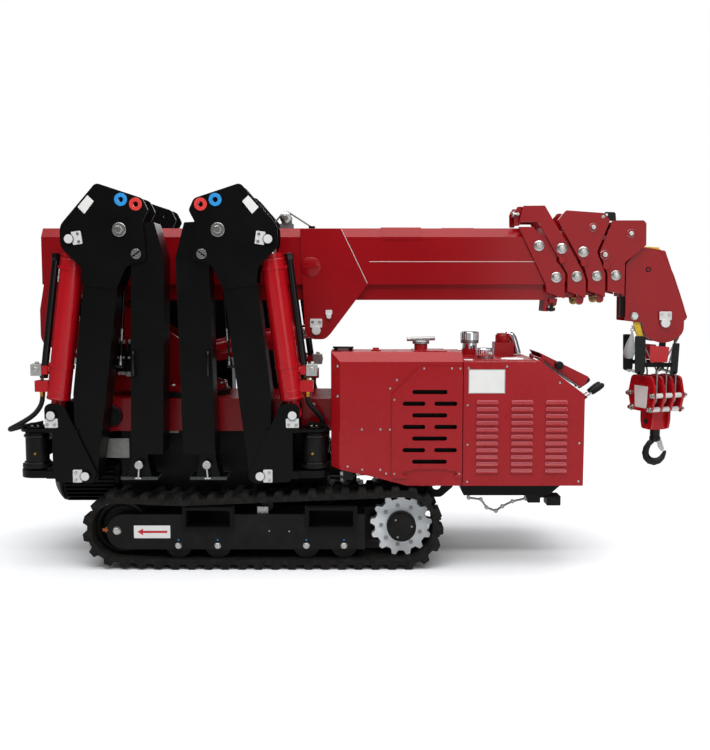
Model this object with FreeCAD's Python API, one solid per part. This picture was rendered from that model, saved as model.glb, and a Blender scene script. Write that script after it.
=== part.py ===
import FreeCAD, Part
import math
import os

# A mini crawler crane with four folding outrigger legs, parked with its legs up and its boom down.
# Millimetres. +X is the engine end, -Y the left side, +Z up. Every X below is measured from the
# slew axis, and the whole machine is moved at the end so that the middle of its box is at X = Y = 0.

V = FreeCAD.Vector
X_AXIS = V(1, 0, 0)
Y_AXIS = V(0, 1, 0)
Z_AXIS = V(0, 0, 1)

# Clearances
SEAT = 0.3          # between pieces that rest on each other
RUN = 2.0           # round pins, rods and drums that turn
PLAY = 0.05         # radial play of a running bore

# Track
WIDTH = 800.0       # over both tracks
SHOE = 200.0        # width of one track
PITCH = 72.0        # of the lugs
LUG = 20.0          # height of a lug
BELT = 22.0         # thickness of the belt
SPROCKET_X = 987.0
SPROCKET_R = 136.0  # to the tooth tips
TEETH = 13
TOOTH = 20.0        # height of a tooth
DRIVE_R = 64.0      # final drive cover
IDLER_X = -238.0
IDLER_Z = 176.0
IDLER_R = 113.0
ROLLER_R = 58.0
ROLLER_X = (15.0, 186.0, 572.0, 736.0)
CARRIER_X = 400.0   # the top roller
CARRIER_Z = 296.0   # inside of the belt over the top roller
CARRIER_R = 26.0
SAG_X = 30.0        # lowest point of the top run
SAG_Z = 281.0
WRAP = 0.94         # bend of the belt as a share of the wheel that it goes round
RISE = 7.0          # how far the belt's upper corners lie above their wheels
FRAME_X = (-297.0, 827.0)
FRAME_Z = (84.0, 239.0)
FRAME_W = 150.0     # width of a track frame
FRAME_WALL = 12.0
FORK_WALL = 22.0    # cheeks beside the idler
POCKET_X = (147.0, 680.0)   # middles of the two fork pockets
POCKET_W = 190.0    # clear opening of a fork pocket
POCKET_H = 76.0
POCKET_Z = 184.0    # floor of a fork pocket
POCKET_WALL = 8.0
BEZEL = 10.0        # width of a pocket's rim
RIM = 6.0           # thickness of that rim

# Chassis
HUB_X = 606.0       # outrigger hubs, each way from the slew axis
HUB_Y = WIDTH / 2 - 85.0
HUB_Z = (440.0, 592.0)
HUB_R = 50.0
BODY_X = (-273.0, 660.0)
BODY_Y = WIDTH / 2 - SHOE - 25.0     # clear of the tracks
BODY_Z = (290.0, 581.0)
DECK_X = -372.0     # front face of the deck
DECK_Y = 215.0
DECK_Z = 727.0
RING_R = 200.0
RING_H = 26.0
RAIL_X = 1700.0     # rear end of the chassis rails
RAIL_Y = 120.0
RAIL_W = 60.0
RAIL_H = 60.0
BEARERS = (732.0, 1190.0, 1254.0, 1644.0)   # front faces of the cross members that carry the hood
BEARER_W = 44.0
BEARER_RISE = 25.0   # of their undersides over the rails'
TIE_R = 20.0        # tie-down hole in the rear bracket

# Outrigger leg, as the front left one stands
LEG_W = 160.0       # over the side plates
PLATE = 12.0        # side plate thickness
ARM_PIN = (-376.0, 413.0)
CYL_PIN = (-516.0, 676.0)
HEAD_PIN = (-418.0, 1424.0)
KNEE_PIN = (-207.0, 1463.0)
LOCK_PIN = (-138.0, 1362.0)
LOCK_HOLES = ((-198.0, 1588.0), (-136.0, 1569.0))
LOCK_R = 13.0
PIN_R = 16.0
WING_R = 66.0       # pedestal reach past its hub
NECK = 62.0         # how far from its hub a pedestal gets its full width
FOOT_PIN = (-146.0, 460.0)
FOOT_Z = 392.0
CYL_R = 50.0        # outrigger cylinder barrel
BAR_R = 15.0        # pilot tube beside the barrel

# Turret
TURRET_Y = 110.0    # over its side plates, each way
TURRET_PLATE = 14.0
BOOM_PIN = (-553.0, 1300.0)
LUFF_PIN = (-273.0, 845.0)
LUFF_EYE = (607.0, 1028.0)
LUFF_R = 52.0
EYE_HALF = 46.0     # half the length of the boom cylinder's foot bushing
LUFF_ROD_R = 33.0
WINCH = (-558.0, 1030.0)
WINCH_R = 84.0

# Boom
BOOM_X = (-640.0, 1700.0)   # base section
BOOM_HALF = 85.0
BOOM_Z = (1164.0, 1235.0, 1449.0, 1490.0)  # underside, lower edge and upper edge of the side, top
WALL = 5.0          # of a boom section
NEST = 6.0          # gap between two sections
HEAD_HALF = 75.0
SHEAVE_PIN = (2202.0, 1059.0)
HEAD_STUD = (2061.0, 1091.0)
HOOK_X = 2197.0
BLOCK_YAW = 20.0    # degrees that the hook block hangs turned
BLOCK_Z = (637.0, 814.0)
CHEEK_Z = 558.0
BOWL_Z = 444.0      # middle of the hook's bowl
BOWL = (
    # angle round the bowl from +X, reach, radius of the section, from the neck round to the tip
    (92.0, 66.0, 14.0), (120.0, 52.0, 14.0), (150.0, 44.0, 15.0), (180.0, 42.0, 16.0), (210.0, 42.0, 17.0),
    (240.0, 42.0, 18.0), (270.0, 42.0, 18.0), (300.0, 42.0, 16.0), (330.0, 43.0, 13.0), (358.0, 46.0, 10.0),
    (372.0, 50.0, 7.0),
)
BLOCK_STEP = 52.0   # from one sheave of the hook block to the next
BLOCK_PLATE = 12.0
BLOCK_SHEAVE_R = 66.0
ROPE_R = 4.0
HEAD_STEP = 28.0    # from one sheave of the head to the next
HEAD_SHEAVE_R = 88.0
GROOVE = 10.0
LEAD = 70.0         # last straight run of each rope up to its sheave

# Hood
HOOD_X = (680.0, 1248.0, 1772.0)  # front face, split, rear face
HOOD_Y = 375.0
HOOD_TOP = 944.0
HOOD_REAR_TOP = 904.0
HOOD_Z = 400.0
HOOD_BEVEL = 40.0
HOOD_WALL = 4.0
TRAY_Z = (312.0, 365.0)

nodes = {}


def rounded(points, plane="y", at=0.0):
    """A closed wire through (u, v, corner radius) points; a third value of 0 is a sharp corner."""
    def place(p):
        if plane == "y":
            return V(p[0], at, p[1])
        if plane == "x":
            return V(at, p[0], p[1])
        return V(p[0], p[1], at)

    corners = []
    count = len(points)
    for i, point in enumerate(points):
        u, v = point[0], point[1]
        radius = point[2] if len(point) > 2 else 0.0
        if not radius:
            corners.append(((u, v), None, (u, v)))
            continue
        before, after = points[i - 1], points[(i + 1) % count]
        a = (before[0] - u, before[1] - v)
        b = (after[0] - u, after[1] - v)
        la, lb = math.hypot(*a), math.hypot(*b)
        a = (a[0] / la, a[1] / la)
        b = (b[0] / lb, b[1] / lb)
        half = 0.5 * math.acos(max(-1.0, min(1.0, a[0] * b[0] + a[1] * b[1])))
        reach = radius / math.tan(half)
        middle = (a[0] + b[0], a[1] + b[1])
        length = math.hypot(*middle)
        out = radius / math.sin(half) - radius
        top = (u + middle[0] / length * out, v + middle[1] / length * out)
        start = (u + a[0] * reach, v + a[1] * reach)
        end = (u + b[0] * reach, v + b[1] * reach)
        corners.append((start, top, end))
    edges = []
    for i, (start, top, end) in enumerate(corners):
        if top:
            edges.append(Part.Arc(place(start), place(top), place(end)).toShape())
        following = corners[(i + 1) % count][0]
        if math.dist(end, following) > 1e-6:
            edges.append(Part.LineSegment(place(end), place(following)).toShape())
    return Part.Wire(edges)


def slab(points, low, high, plane="y"):
    """The outline extruded between two values of its normal axis."""
    face = Part.Face(rounded(points, plane, low))
    step = {"y": Y_AXIS, "x": X_AXIS, "z": Z_AXIS}[plane]
    return face.extrude(step * (high - low))


def block(x, y, z):
    """A box from three (low, high) pairs."""
    return Part.makeBox(x[1] - x[0], y[1] - y[0], z[1] - z[0], V(x[0], y[0], z[0]))


def rod(a, b, radius):
    """A round bar from point a to point b."""
    a, b = V(*a), V(*b)
    return Part.makeCylinder(radius, (b - a).Length, a, b - a)


def across(pin, radius, low, high):
    """A round bar along Y at an (x, z) place."""
    return rod((pin[0], low, pin[1]), (pin[0], high, pin[1]), radius)


def fused(first, *rest):
    """One solid of all that is given."""
    whole = first.fuse(list(rest)) if rest else first
    merged = whole.removeSplitter()
    return merged if merged.isValid() else whole


def mirror_y(shape):
    return shape.mirror(V(0, 0, 0), Y_AXIS)


def mirror_x(shape):
    return shape.mirror(V(0, 0, 0), X_AXIS)


def both_sides(shape):
    return Part.Compound([shape, mirror_y(shape)])


def along(a, b, distance, side=0.0):
    """The (x, z) place that far from a towards b, and that far to the left of that line."""
    length = math.dist(a, b)
    ux, uz = (b[0] - a[0]) / length, (b[1] - a[1]) / length
    return (a[0] + ux * distance - uz * side, a[1] + uz * distance + ux * side)


# Tracks
TRACK_MID = 0.5 * (WIDTH - SHOE)
BELT_Z = LUG + BELT                     # inside of the lower run
SPROCKET_Z = BELT_Z + SPROCKET_R + RUN


def widened(points, out):
    """The same rounded outline, run anticlockwise, moved outwards by out."""
    moved = []
    for i, (u, v, radius) in enumerate(points):
        before, after = points[i - 1], points[(i + 1) % len(points)]
        normals = []
        for start, end in ((before, (u, v)), ((u, v), after)):
            du, dv = end[0] - start[0], end[1] - start[1]
            length = math.hypot(du, dv)
            normals.append((dv / length, -du / length))
        (a, b), (c, d) = normals
        share = out / (1 + a * c + b * d)
        bend = 1.0 if a * d - b * c > 0 else -1.0
        moved.append((u + (a + c) * share, v + (b + d) * share, radius + bend * out))
    return moved


def track_points():
    """The inside of the belt, round the sprocket and the idler, with the sag of its top run."""
    turn = SPROCKET_R + RUN
    wheel = IDLER_R + RUN
    return [
        (SPROCKET_X + turn, BELT_Z, WRAP * turn),
        (SPROCKET_X + turn, SPROCKET_Z + turn + RISE, WRAP * turn),
        (CARRIER_X, CARRIER_Z, 500.0),
        (SAG_X, SAG_Z, 900.0),
        (IDLER_X - wheel, IDLER_Z + wheel + RISE, WRAP * wheel),
        (IDLER_X - wheel, IDLER_Z - wheel, WRAP * wheel),
        (ROLLER_X[0] - 40.0, BELT_Z, 300.0),
    ]


def lug_outline(shift):
    """The outer outline of the belt: four points for each lug."""
    outer = rounded(widened(track_points(), BELT))
    count = int(round(outer.Length / PITCH))
    steps = 8
    spots = outer.discretize(Number=count * steps + 1)[:-1]
    total = len(spots)
    middle = outer.BoundBox.Center
    points = []
    for i in range(count):
        for step, height in ((0, 0.0), (1, LUG), (4, LUG), (5, 0.0)):
            n = (i * steps + step + shift) % total
            tangent = spots[(n + 1) % total] - spots[n - 1]
            normal = V(tangent.z, 0, -tangent.x).normalize()
            if normal.dot(spots[n] - middle) < 0:
                normal = normal * -1.0
            points.append(spots[n] + normal * height)
    return Part.makePolygon(points + [points[0]])


def track():
    """One rubber belt whose two rows of lugs stand half a pitch apart."""
    hollow = Part.Face(rounded(track_points()))
    low = -WIDTH / 2
    rows = []
    for row, shift in ((0, 0), (1, 4)):
        start = low + row * SHOE / 2
        ring = Part.Face(lug_outline(shift)).cut(hollow)
        ring.translate(V(0, start, 0))
        rows.append(ring.extrude(V(0, SHOE / 2, 0)))
    return fused(*rows)


def pocket_block(middle, out, low, high):
    """The space of a fork pocket, grown by out all round."""
    half = POCKET_W / 2 + out
    return block((middle - half, middle + half), (low, high), (POCKET_Z - out, POCKET_Z + POCKET_H + out))


def fork_pockets():
    """Two square tubes across the machine, through both track frames, with a rim at each end."""
    end = TRACK_MID + FRAME_W / 2 + RIM
    shapes = []
    for middle in POCKET_X:
        tube = pocket_block(middle, POCKET_WALL, -end, end)
        rims = [pocket_block(middle, POCKET_WALL + BEZEL, *sorted((side * end, side * (end - RIM + SEAT))))
                for side in (-1, 1)]
        shapes.append(fused(tube, *rims).cut(pocket_block(middle, 0.0, -end - 1.0, end + 1.0)))
    return shapes


def track_frame():
    """A channel over the rollers, round at the idler, with the two pocket tubes through it."""
    low, high = -TRACK_MID - FRAME_W / 2, -TRACK_MID + FRAME_W / 2
    z0, z1 = FRAME_Z
    end = FRAME_X[1]
    nose = (z1 - z0) / 2
    shape = slab([(FRAME_X[0], z0, nose), (end, z0), (end, z1), (FRAME_X[0], z1, nose)], low, high)
    inside = block((FRAME_X[0] + 40.0, end - 20.0), (low + FRAME_WALL, high - FRAME_WALL),
                   (z0 - 1.0, z1 - 60.0))
    shape = shape.cut(inside)
    for x in ROLLER_X:
        shape = shape.cut(across((x, BELT_Z + ROLLER_R + 1.0), 12.0, low - 1.0, high + 1.0))
    fork = across((IDLER_X, IDLER_Z), IDLER_R + 8.0, low + FORK_WALL, high - FORK_WALL)
    shape = shape.cut(fork)
    for middle in POCKET_X:
        shape = shape.cut(pocket_block(middle, POCKET_WALL + SEAT, low - 20.0, high + 20.0))
    post = block((CARRIER_X - 20.0, CARRIER_X + 20.0), (-TRACK_MID + 36.0, -TRACK_MID + 50.0),
                 (z1 - 2.0, CARRIER_Z - CARRIER_R))
    drive = across((SPROCKET_X, SPROCKET_Z), 84.0, high - 30.0, high)
    bracket = slab([(end - 20.0, z0 + 10.0), (SPROCKET_X, SPROCKET_Z - 84.0), (SPROCKET_X, SPROCKET_Z + 84.0),
                    (end - 20.0, z1)], high - 30.0, high)
    return fused(shape, post, drive, bracket)


def parted_frame():
    """The track frame as far as the rear pocket, and the drive bracket bolted to its end."""
    whole = track_frame()
    parting = POCKET_X[1] + POCKET_W / 2 + POCKET_WALL + SEAT
    frame = whole.common(block((FRAME_X[0] - 1.0, parting), (-WIDTH, 0.0), (0.0, 500.0)))
    drive = whole.common(block((parting + SEAT, SPROCKET_X + 200.0), (-WIDTH, 0.0), (0.0, 500.0)))
    return fused(frame), fused(drive)


def sprocket():
    """A ring of thirteen teeth with its bolt circle, bored for the final drive."""
    root = SPROCKET_R - TOOTH
    step = 2 * math.pi / TEETH
    points = []
    for i in range(TEETH):
        for share, radius in ((-0.30, root), (-0.13, SPROCKET_R), (0.13, SPROCKET_R), (0.30, root)):
            angle = (i + share) * step
            points.append((SPROCKET_X + radius * math.sin(angle), SPROCKET_Z + radius * math.cos(angle), 3.0))
    low = -TRACK_MID - 22.0
    ring = slab(points, low, low + 44.0)
    return ring.cut(across((SPROCKET_X, SPROCKET_Z), DRIVE_R + SEAT, low - 1.0, low + 45.0))


def final_drive():
    """The round gearbox inside the sprocket, stepped like its cover, on the frame's bracket."""
    high = -TRACK_MID + FRAME_W / 2 - 30.0 - SEAT
    face = -WIDTH / 2 + 30.0
    place = (SPROCKET_X, SPROCKET_Z)
    body = across(place, DRIVE_R, face + 14.0, high)
    cover = across(place, DRIVE_R - 10.0, face, face + 15.0)
    return fused(body, cover)


def idler():
    """The front wheel with its rim flanges, its hub reaching to the frame's two ends."""
    hub = FRAME_W / 2 - FORK_WALL - SEAT
    profile = [(0, -hub), (24, -hub), (24, -16), (IDLER_R - 26, -12), (IDLER_R - 14, -34), (IDLER_R, -34),
               (IDLER_R, 34), (IDLER_R - 14, 34), (IDLER_R - 26, 12), (24, 16), (24, hub), (0, hub)]
    points = [V(IDLER_X + r, -TRACK_MID + y, IDLER_Z) for r, y in profile]
    face = Part.Face(Part.makePolygon(points + [points[0]]))
    return face.revolve(V(IDLER_X, -TRACK_MID, IDLER_Z), Y_AXIS, 360)


def rollers():
    """Four flanged bottom rollers with their axles, and the small top roller."""
    shapes = []
    inner = FRAME_W / 2 - FRAME_WALL - 2.0
    for x in ROLLER_X:
        place = (x, BELT_Z + ROLLER_R + 1.0)
        wheel = across(place, ROLLER_R - 14.0, -TRACK_MID - inner, -TRACK_MID + inner)
        left = across(place, ROLLER_R, -TRACK_MID - inner, -TRACK_MID - inner + 26.0)
        right = across(place, ROLLER_R, -TRACK_MID + inner - 26.0, -TRACK_MID + inner)
        axle = across(place, 12.0 - PLAY, -TRACK_MID - FRAME_W / 2, -TRACK_MID + FRAME_W / 2)
        shapes.append(fused(wheel, left, right, axle))
    top = (CARRIER_X, CARRIER_Z - CARRIER_R - 1.0)
    shapes.append(across(top, CARRIER_R, -TRACK_MID - 36.0, -TRACK_MID + 36.0 - SEAT))
    return shapes


nodes["track_left"] = track()
nodes["track_right"] = mirror_y(nodes["track_left"])
nodes["track_frame_left"], drive_bracket = parted_frame()
nodes["track_frame_right"] = mirror_y(nodes["track_frame_left"])
nodes["drive_brackets"] = both_sides(drive_bracket)
nodes["fork_pockets"] = Part.Compound(fork_pockets())
nodes["drive_sprockets"] = both_sides(sprocket())
nodes["final_drives"] = both_sides(final_drive())
nodes["idler_wheels"] = both_sides(idler())
one_side = rollers()
nodes["track_rollers"] = Part.Compound(one_side + [mirror_y(s) for s in one_side])


# Chassis
def hub_barrel(side):
    """A hub's barrel with the web that carries it from the chassis."""
    x = side * HUB_X
    barrel = rod((x, -HUB_Y, HUB_Z[0]), (x, -HUB_Y, HUB_Z[1]), HUB_R)
    collar = rod((x, -HUB_Y, HUB_Z[0]), (x, -HUB_Y, HUB_Z[0] + 16.0), HUB_R + 14.0)
    web = block((x - 42.0, x + 42.0), (-HUB_Y, -BODY_Y + 20.0), (HUB_Z[0] + 46.0, HUB_Z[1] - 40.0))
    return fused(barrel, collar, web)


def chassis():
    """The welded body with the beams out to the four hubs, standing on the pocket tubes."""
    shapes = [block(BODY_X, (-BODY_Y, BODY_Y), BODY_Z)]
    beam_z = (HUB_Z[0] + 46.0, HUB_Z[1] - 40.0)
    shapes.append(block((-HUB_X - 42.0, -HUB_X + 42.0), (-BODY_Y, BODY_Y), beam_z))
    shapes.append(block((-HUB_X, BODY_X[0] + 1.0), (-140.0, 140.0), beam_z))
    for side in (-1, 1):
        web = hub_barrel(side)
        shapes += [web, mirror_y(web)]
    for middle in POCKET_X:
        half = POCKET_W / 2 + POCKET_WALL
        top = POCKET_Z + POCKET_H + POCKET_WALL + SEAT
        shapes.append(block((middle - half, middle + half), (-BODY_Y, BODY_Y), (top, BODY_Z[0] + 1.0)))
    return fused(*shapes)


def engine_rails():
    """Two rails behind the body, and the cross members that carry the hood."""
    z0 = TRAY_Z[1] + SEAT
    reach = HOOD_Y - HOOD_WALL - SEAT
    shapes = [block((BODY_X[1] + SEAT, RAIL_X), (side * RAIL_Y - RAIL_W / 2, side * RAIL_Y + RAIL_W / 2),
                    (z0, z0 + RAIL_H)) for side in (-1, 1)]
    for x in BEARERS:
        shapes.append(block((x, x + BEARER_W), (-reach, reach), (z0 + BEARER_RISE, HOOD_Z + BEARER_RISE * 2)))
    return fused(*shapes)


def deck():
    """The red deck box over the chassis, with the tank cap in its side."""
    shape = block((DECK_X, HOOD_X[0] - 4.0), (-DECK_Y, DECK_Y), (BODY_Z[1] + SEAT, DECK_Z))
    return shape


def tie_bracket():
    """The black plate under the rear of the hood with its tie-down hole."""
    plate = [(1085, 365, 0), (1085, 300, 20), (1130, 262, 30), (1180, 262, 30), (1235, 310, 20), (1235, 365, 0)]
    shape = slab(plate, -RAIL_Y - 12.0, -RAIL_Y + 12.0)
    return shape.cut(across((1160.0, 312.0), TIE_R, -RAIL_Y - 20.0, -RAIL_Y + 20.0))


nodes["chassis_frame"] = chassis()
nodes["engine_rails"] = engine_rails()
nodes["base_deck"] = deck()
nodes["tie_brackets"] = both_sides(tie_bracket())
nodes["slew_ring"] = rod((0, 0, DECK_Z + SEAT), (0, 0, DECK_Z + RING_H), RING_R)


def electric_motor():
    """The finned motor across the front, its axis along X, with a domed end bell."""
    y, z, r = -70.0, 350.0, 104.0
    x0, x1 = -HUB_X, -289.0
    bell = Part.makeSphere(150.0, V(x0 + 150.0, y, z))
    bell = bell.common(rod((x0, y, z), (x0 + 60.0, y, z), r + 8.0))
    body = rod((x0 + 59.0, y, z), (x1, y, z), r)
    fins = []
    for i in range(-5, 6):
        height = z + i * 20.0
        reach = math.sqrt((r + 16.0) ** 2 - (i * 20.0) ** 2)
        fins.append(block((x0 + 70.0, x1 - 20.0), (y - reach, y + reach), (height - 2.5, height + 2.5)))
    seat = block((x0 + 110.0, x0 + 200.0), (y - 40.0, y + 40.0), (z + r - 20.0, HUB_Z[0] + 46.0 - SEAT))
    return fused(bell, body, seat, *fins)


nodes["electric_motor"] = electric_motor()


# Hood
def hood_outline(inset=0.0):
    """The side view of the whole hood, shrunk by inset everywhere but at its open bottom."""
    x0, _, x1 = HOOD_X
    slope = 45.0
    drop = 40.0 if inset else 0.0
    return [
        (x0 + inset, HOOD_Z + slope - drop),
        (x0 + inset, HOOD_REAR_TOP - inset),
        (x1 - 190.0 - inset, HOOD_REAR_TOP - inset),
        (x1 - inset, HOOD_REAR_TOP - 142.0 - inset),
        (x1 - inset, TRAY_Z[1] + SEAT - drop),
        (x0 + 330.0, TRAY_Z[1] + SEAT - drop),
        (x0 + 200.0, HOOD_Z - drop),
    ]


SPLIT_GAP = 1.5     # each way from the line where the hood's halves part
TANK_Y = -150.0     # inner side of the raised part on the left of the front half


def raised_part(inset=0.0):
    """The part of the front half that stands above the rest, with its outer edge bevelled."""
    low = HOOD_REAR_TOP - 2 * HOOD_BEVEL
    reach = HOOD_Y - inset
    top = HOOD_TOP - inset
    points = [(-reach, low), (-reach, top - HOOD_BEVEL), (-reach + HOOD_BEVEL, top), (TANK_Y - inset, top),
              (TANK_Y - inset, low)]
    return slab(points, HOOD_X[0] + inset, HOOD_X[1] - SPLIT_GAP - inset, "x")


def hood_shell():
    """The hood's skin with bevelled front corners, open below."""
    outer = slab(hood_outline(), -HOOD_Y, HOOD_Y).fuse(raised_part())
    inner = slab(hood_outline(HOOD_WALL), -HOOD_Y + HOOD_WALL, HOOD_Y - HOOD_WALL).fuse(raised_part(HOOD_WALL))
    bevel = HOOD_BEVEL
    x0 = HOOD_X[0]
    corners = []
    for side in (-1, 1):
        for inset in (0.0, HOOD_WALL):
            edge = side * (HOOD_Y - inset)
            corners.append(slab([(x0 - 1.0 + inset, edge + side * 1.0), (x0 + bevel + 1.0 + inset, edge + side * 1.0),
                                 (x0 - 1.0 + inset, edge - side * (bevel + 1.0))], 0.0, 1200.0, "z"))
    outer = outer.cut([corners[0], corners[2]])
    inner = inner.cut([corners[1], corners[3]])
    return outer.cut(inner)


def hood_halves():
    """The skin parted at the split line."""
    shell = hood_shell()
    front = shell.common(block((0, HOOD_X[1] - SPLIT_GAP), (-500, 500), (0, 1200))).removeSplitter()
    rear = shell.common(block((HOOD_X[1] + SPLIT_GAP, 3000), (-500, 500), (0, 1200))).removeSplitter()
    return front, rear


front, rear = hood_halves()
LOUVRE_X = (1307.0, 1457.0, 1605.0)   # front ends of the three columns
LOUVRE_W = 92.0
LOUVRE_H = 17.0
LOUVRE_OUT = 9.0
LOUVRE_TOP = 728.0
LOUVRE_STEP = 29.8
LOUVRE_ROWS = 11
PANEL_X = (943.0, 1246.0)
PANEL_TOP = 885.0
PANEL_T = 8.0
SLOT_TOP = 775.0
SLOT_STEP = 50.4
SLOT_H = 19.0
SLOT_ROWS = 8


def slots(low, high):
    """The panel's eight rows of slots, one long and two short by turns."""
    shapes = []
    for row in range(SLOT_ROWS):
        z = SLOT_TOP - row * SLOT_STEP
        spans = ((989.0, 1086.0), (1125.0, 1223.0)) if row % 2 else ((1030.0, 1180.0),)
        for x0, x1 in spans:
            r = SLOT_H / 2 - 0.5
            points = [(x0, z - SLOT_H / 2, r), (x1, z - SLOT_H / 2, r), (x1, z + SLOT_H / 2, r), (x0, z + SLOT_H / 2, r)]
            shapes.append(slab(points, low, high))
    return shapes


def side_panel():
    """The raised slotted panel with its cut corner and the arch at its foot."""
    x0, x1 = PANEL_X
    points = [(x0, HOOD_Z, 10), (x0, PANEL_TOP - 120.0, 30), (x0 + 118.0, PANEL_TOP, 30), (x1, PANEL_TOP, 0),
              (x1, HOOD_Z, 0), (x1 - 28.0, HOOD_Z, 0), (x1 - 60.0, HOOD_Z + 40.0, 25), (x0 + 90.0, HOOD_Z + 40.0, 25),
              (x0 + 60.0, HOOD_Z, 0)]
    shape = slab(points, -HOOD_Y - SEAT - PANEL_T, -HOOD_Y - SEAT)
    return shape.cut(slots(-HOOD_Y - SEAT - PANEL_T - 1.0, -HOOD_Y))


for low, high in ((-HOOD_Y - 1.0, -HOOD_Y + HOOD_WALL + 1.0), (HOOD_Y - HOOD_WALL - 1.0, HOOD_Y + 1.0)):
    opening = slab([(PANEL_X[0] + 40.0, HOOD_Z + 60.0), (PANEL_X[0] + 40.0, PANEL_TOP - 130.0),
                    (PANEL_X[0] + 130.0, PANEL_TOP - 30.0), (PANEL_X[1] - 4.0, PANEL_TOP - 30.0),
                    (PANEL_X[1] - 4.0, HOOD_Z + 60.0)], low, high)
    front = front.cut(opening)


def louvres():
    """Three columns of pressed louvres on each side of the rear hood, open downwards."""
    shapes = []
    for x0 in LOUVRE_X:
        for row in range(LOUVRE_ROWS):
            z = LOUVRE_TOP - row * LOUVRE_STEP
            profile = [(-HOOD_Y + HOOD_WALL / 2, z + LOUVRE_H / 2), (-HOOD_Y - 1.0, z + LOUVRE_H / 2),
                       (-HOOD_Y - LOUVRE_OUT, z - LOUVRE_H / 4), (-HOOD_Y - LOUVRE_OUT, z - LOUVRE_H / 2),
                       (-HOOD_Y + HOOD_WALL / 2, z - LOUVRE_H / 2)]
            shape = slab(profile, x0, x0 + LOUVRE_W, "x")
            shapes += [shape, mirror_y(shape)]
    return shapes


nodes["hood_front"] = front
nodes["hood_rear"] = fused(rear, *louvres())
nodes["slotted_panels"] = both_sides(side_panel())


def tray():
    """The black pan under the engine."""
    x0, x1 = 1261.0, 1695.0
    return slab([(x0, TRAY_Z[0]), (x1 - 60.0, TRAY_Z[0]), (x1, TRAY_Z[1]), (x0 - 20.0, TRAY_Z[1])],
                -HOOD_Y + 50.0, HOOD_Y - 50.0)


nodes["engine_tray"] = tray()
nodes["engine_block"] = block((1300.0, 1620.0), (-210.0, 210.0),
                              (TRAY_Z[1] + RAIL_H + 2 * SEAT, 800.0))


def hood_fittings():
    """The filler cap, handle, chrome caps and exhaust on top of the hood."""
    top = HOOD_TOP + SEAT
    rear_top = HOOD_REAR_TOP + SEAT
    shapes = [
        fused(rod((1074, -250, top), (1074, -250, top + 36), 24), rod((1074, -250, top + 35), (1074, -250, top + 48), 34)),
        fused(rod((1319, 0, rear_top), (1319, 0, rear_top + 60), 30),
              rod((1319, 0, rear_top + 59), (1319, 0, rear_top + 84), 42)),
        fused(rod((1370, -150, rear_top), (1370, -150, rear_top + 20), 38),
              rod((1370, -150, rear_top + 19), (1370, -150, rear_top + 34), 28)),
        block((690, 776), (-250, -230), (top, top + 12)),
    ]
    return Part.Compound(shapes)


def exhaust():
    """The red exhaust housing with its bent outlet."""
    top = HOOD_REAR_TOP + SEAT
    box = block((1440, 1530), (20, 110), (top, top + 60))
    pipe = rod((1500, 65, top + 59), (1500, 65, top + 90), 20)
    return fused(box, pipe)


nodes["hood_fittings"] = hood_fittings()
nodes["exhaust_stack"] = exhaust()

LID_TOP = (1598.0, 910.0)    # hinge line of the control lid
LID_FOOT = (1772.0, 786.0)
LID_T = 5.0
LID_Y = (-300.0, -60.0)
LID_PIN_R = 5.0
KNUCKLE = 9.0       # length of a hinge ear, and its radius round the pin


def control_lid():
    """The red cover over the levers, lying on the hood's rear slope and hinged at its upper edge."""
    length = math.dist(LID_TOP, LID_FOOT)
    corners = [along(LID_TOP, LID_FOOT, 2.0, 0.0), along(LID_TOP, LID_FOOT, length, 0.0),
               along(LID_TOP, LID_FOOT, length, LID_T), along(LID_TOP, LID_FOOT, 2.0, LID_T)]
    pin = across(LID_TOP, LID_PIN_R, LID_Y[0] - SEAT - KNUCKLE, LID_Y[1] + SEAT + KNUCKLE)
    return fused(slab(corners, *LID_Y), across(LID_TOP, LID_PIN_R + 2.0, *LID_Y), pin)


def lid_ears():
    """The two ears on the hood that hold the lid's pin."""
    x, z = LID_TOP
    foot = HOOD_REAR_TOP - HOOD_WALL - 30.0
    outline = [(x - KNUCKLE, foot), (x + KNUCKLE, foot), (x + KNUCKLE, z + KNUCKLE, 8.0), (x - KNUCKLE, z + KNUCKLE, 8.0)]
    ears = []
    for y in (LID_Y[0] - SEAT - KNUCKLE, LID_Y[1] + SEAT):
        ears.append(slab(outline, y, y + KNUCKLE))
    return ears


nodes["hood_rear"] = fused(nodes["hood_rear"], *lid_ears()).cut(across(LID_TOP, LID_PIN_R + PLAY, -400.0, 0.0))


nodes["control_lid"] = control_lid()
LEVER_Y = (-160.0, -100.0, 100.0, 160.0)


def lever(y):
    """A bent lever with its round foot on the hood's rear face."""
    foot = rod((HOOD_X[2] + SEAT, y, 700.0), (HOOD_X[2] + 6.0, y, 700.0), 12.0)
    stub = rod((HOOD_X[2] + 5.0, y, 700.0), (HOOD_X[2] + 20.0, y, 700.0), 6.0)
    bend = Part.makeSphere(6.0, V(HOOD_X[2] + 20.0, y, 700.0))
    return fused(foot, stub, bend, rod((HOOD_X[2] + 20.0, y, 700.0), (HOOD_X[2] + 60.0, y, 730.0), 6.0))


nodes["control_levers"] = Part.Compound([lever(y) for y in LEVER_Y])


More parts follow.
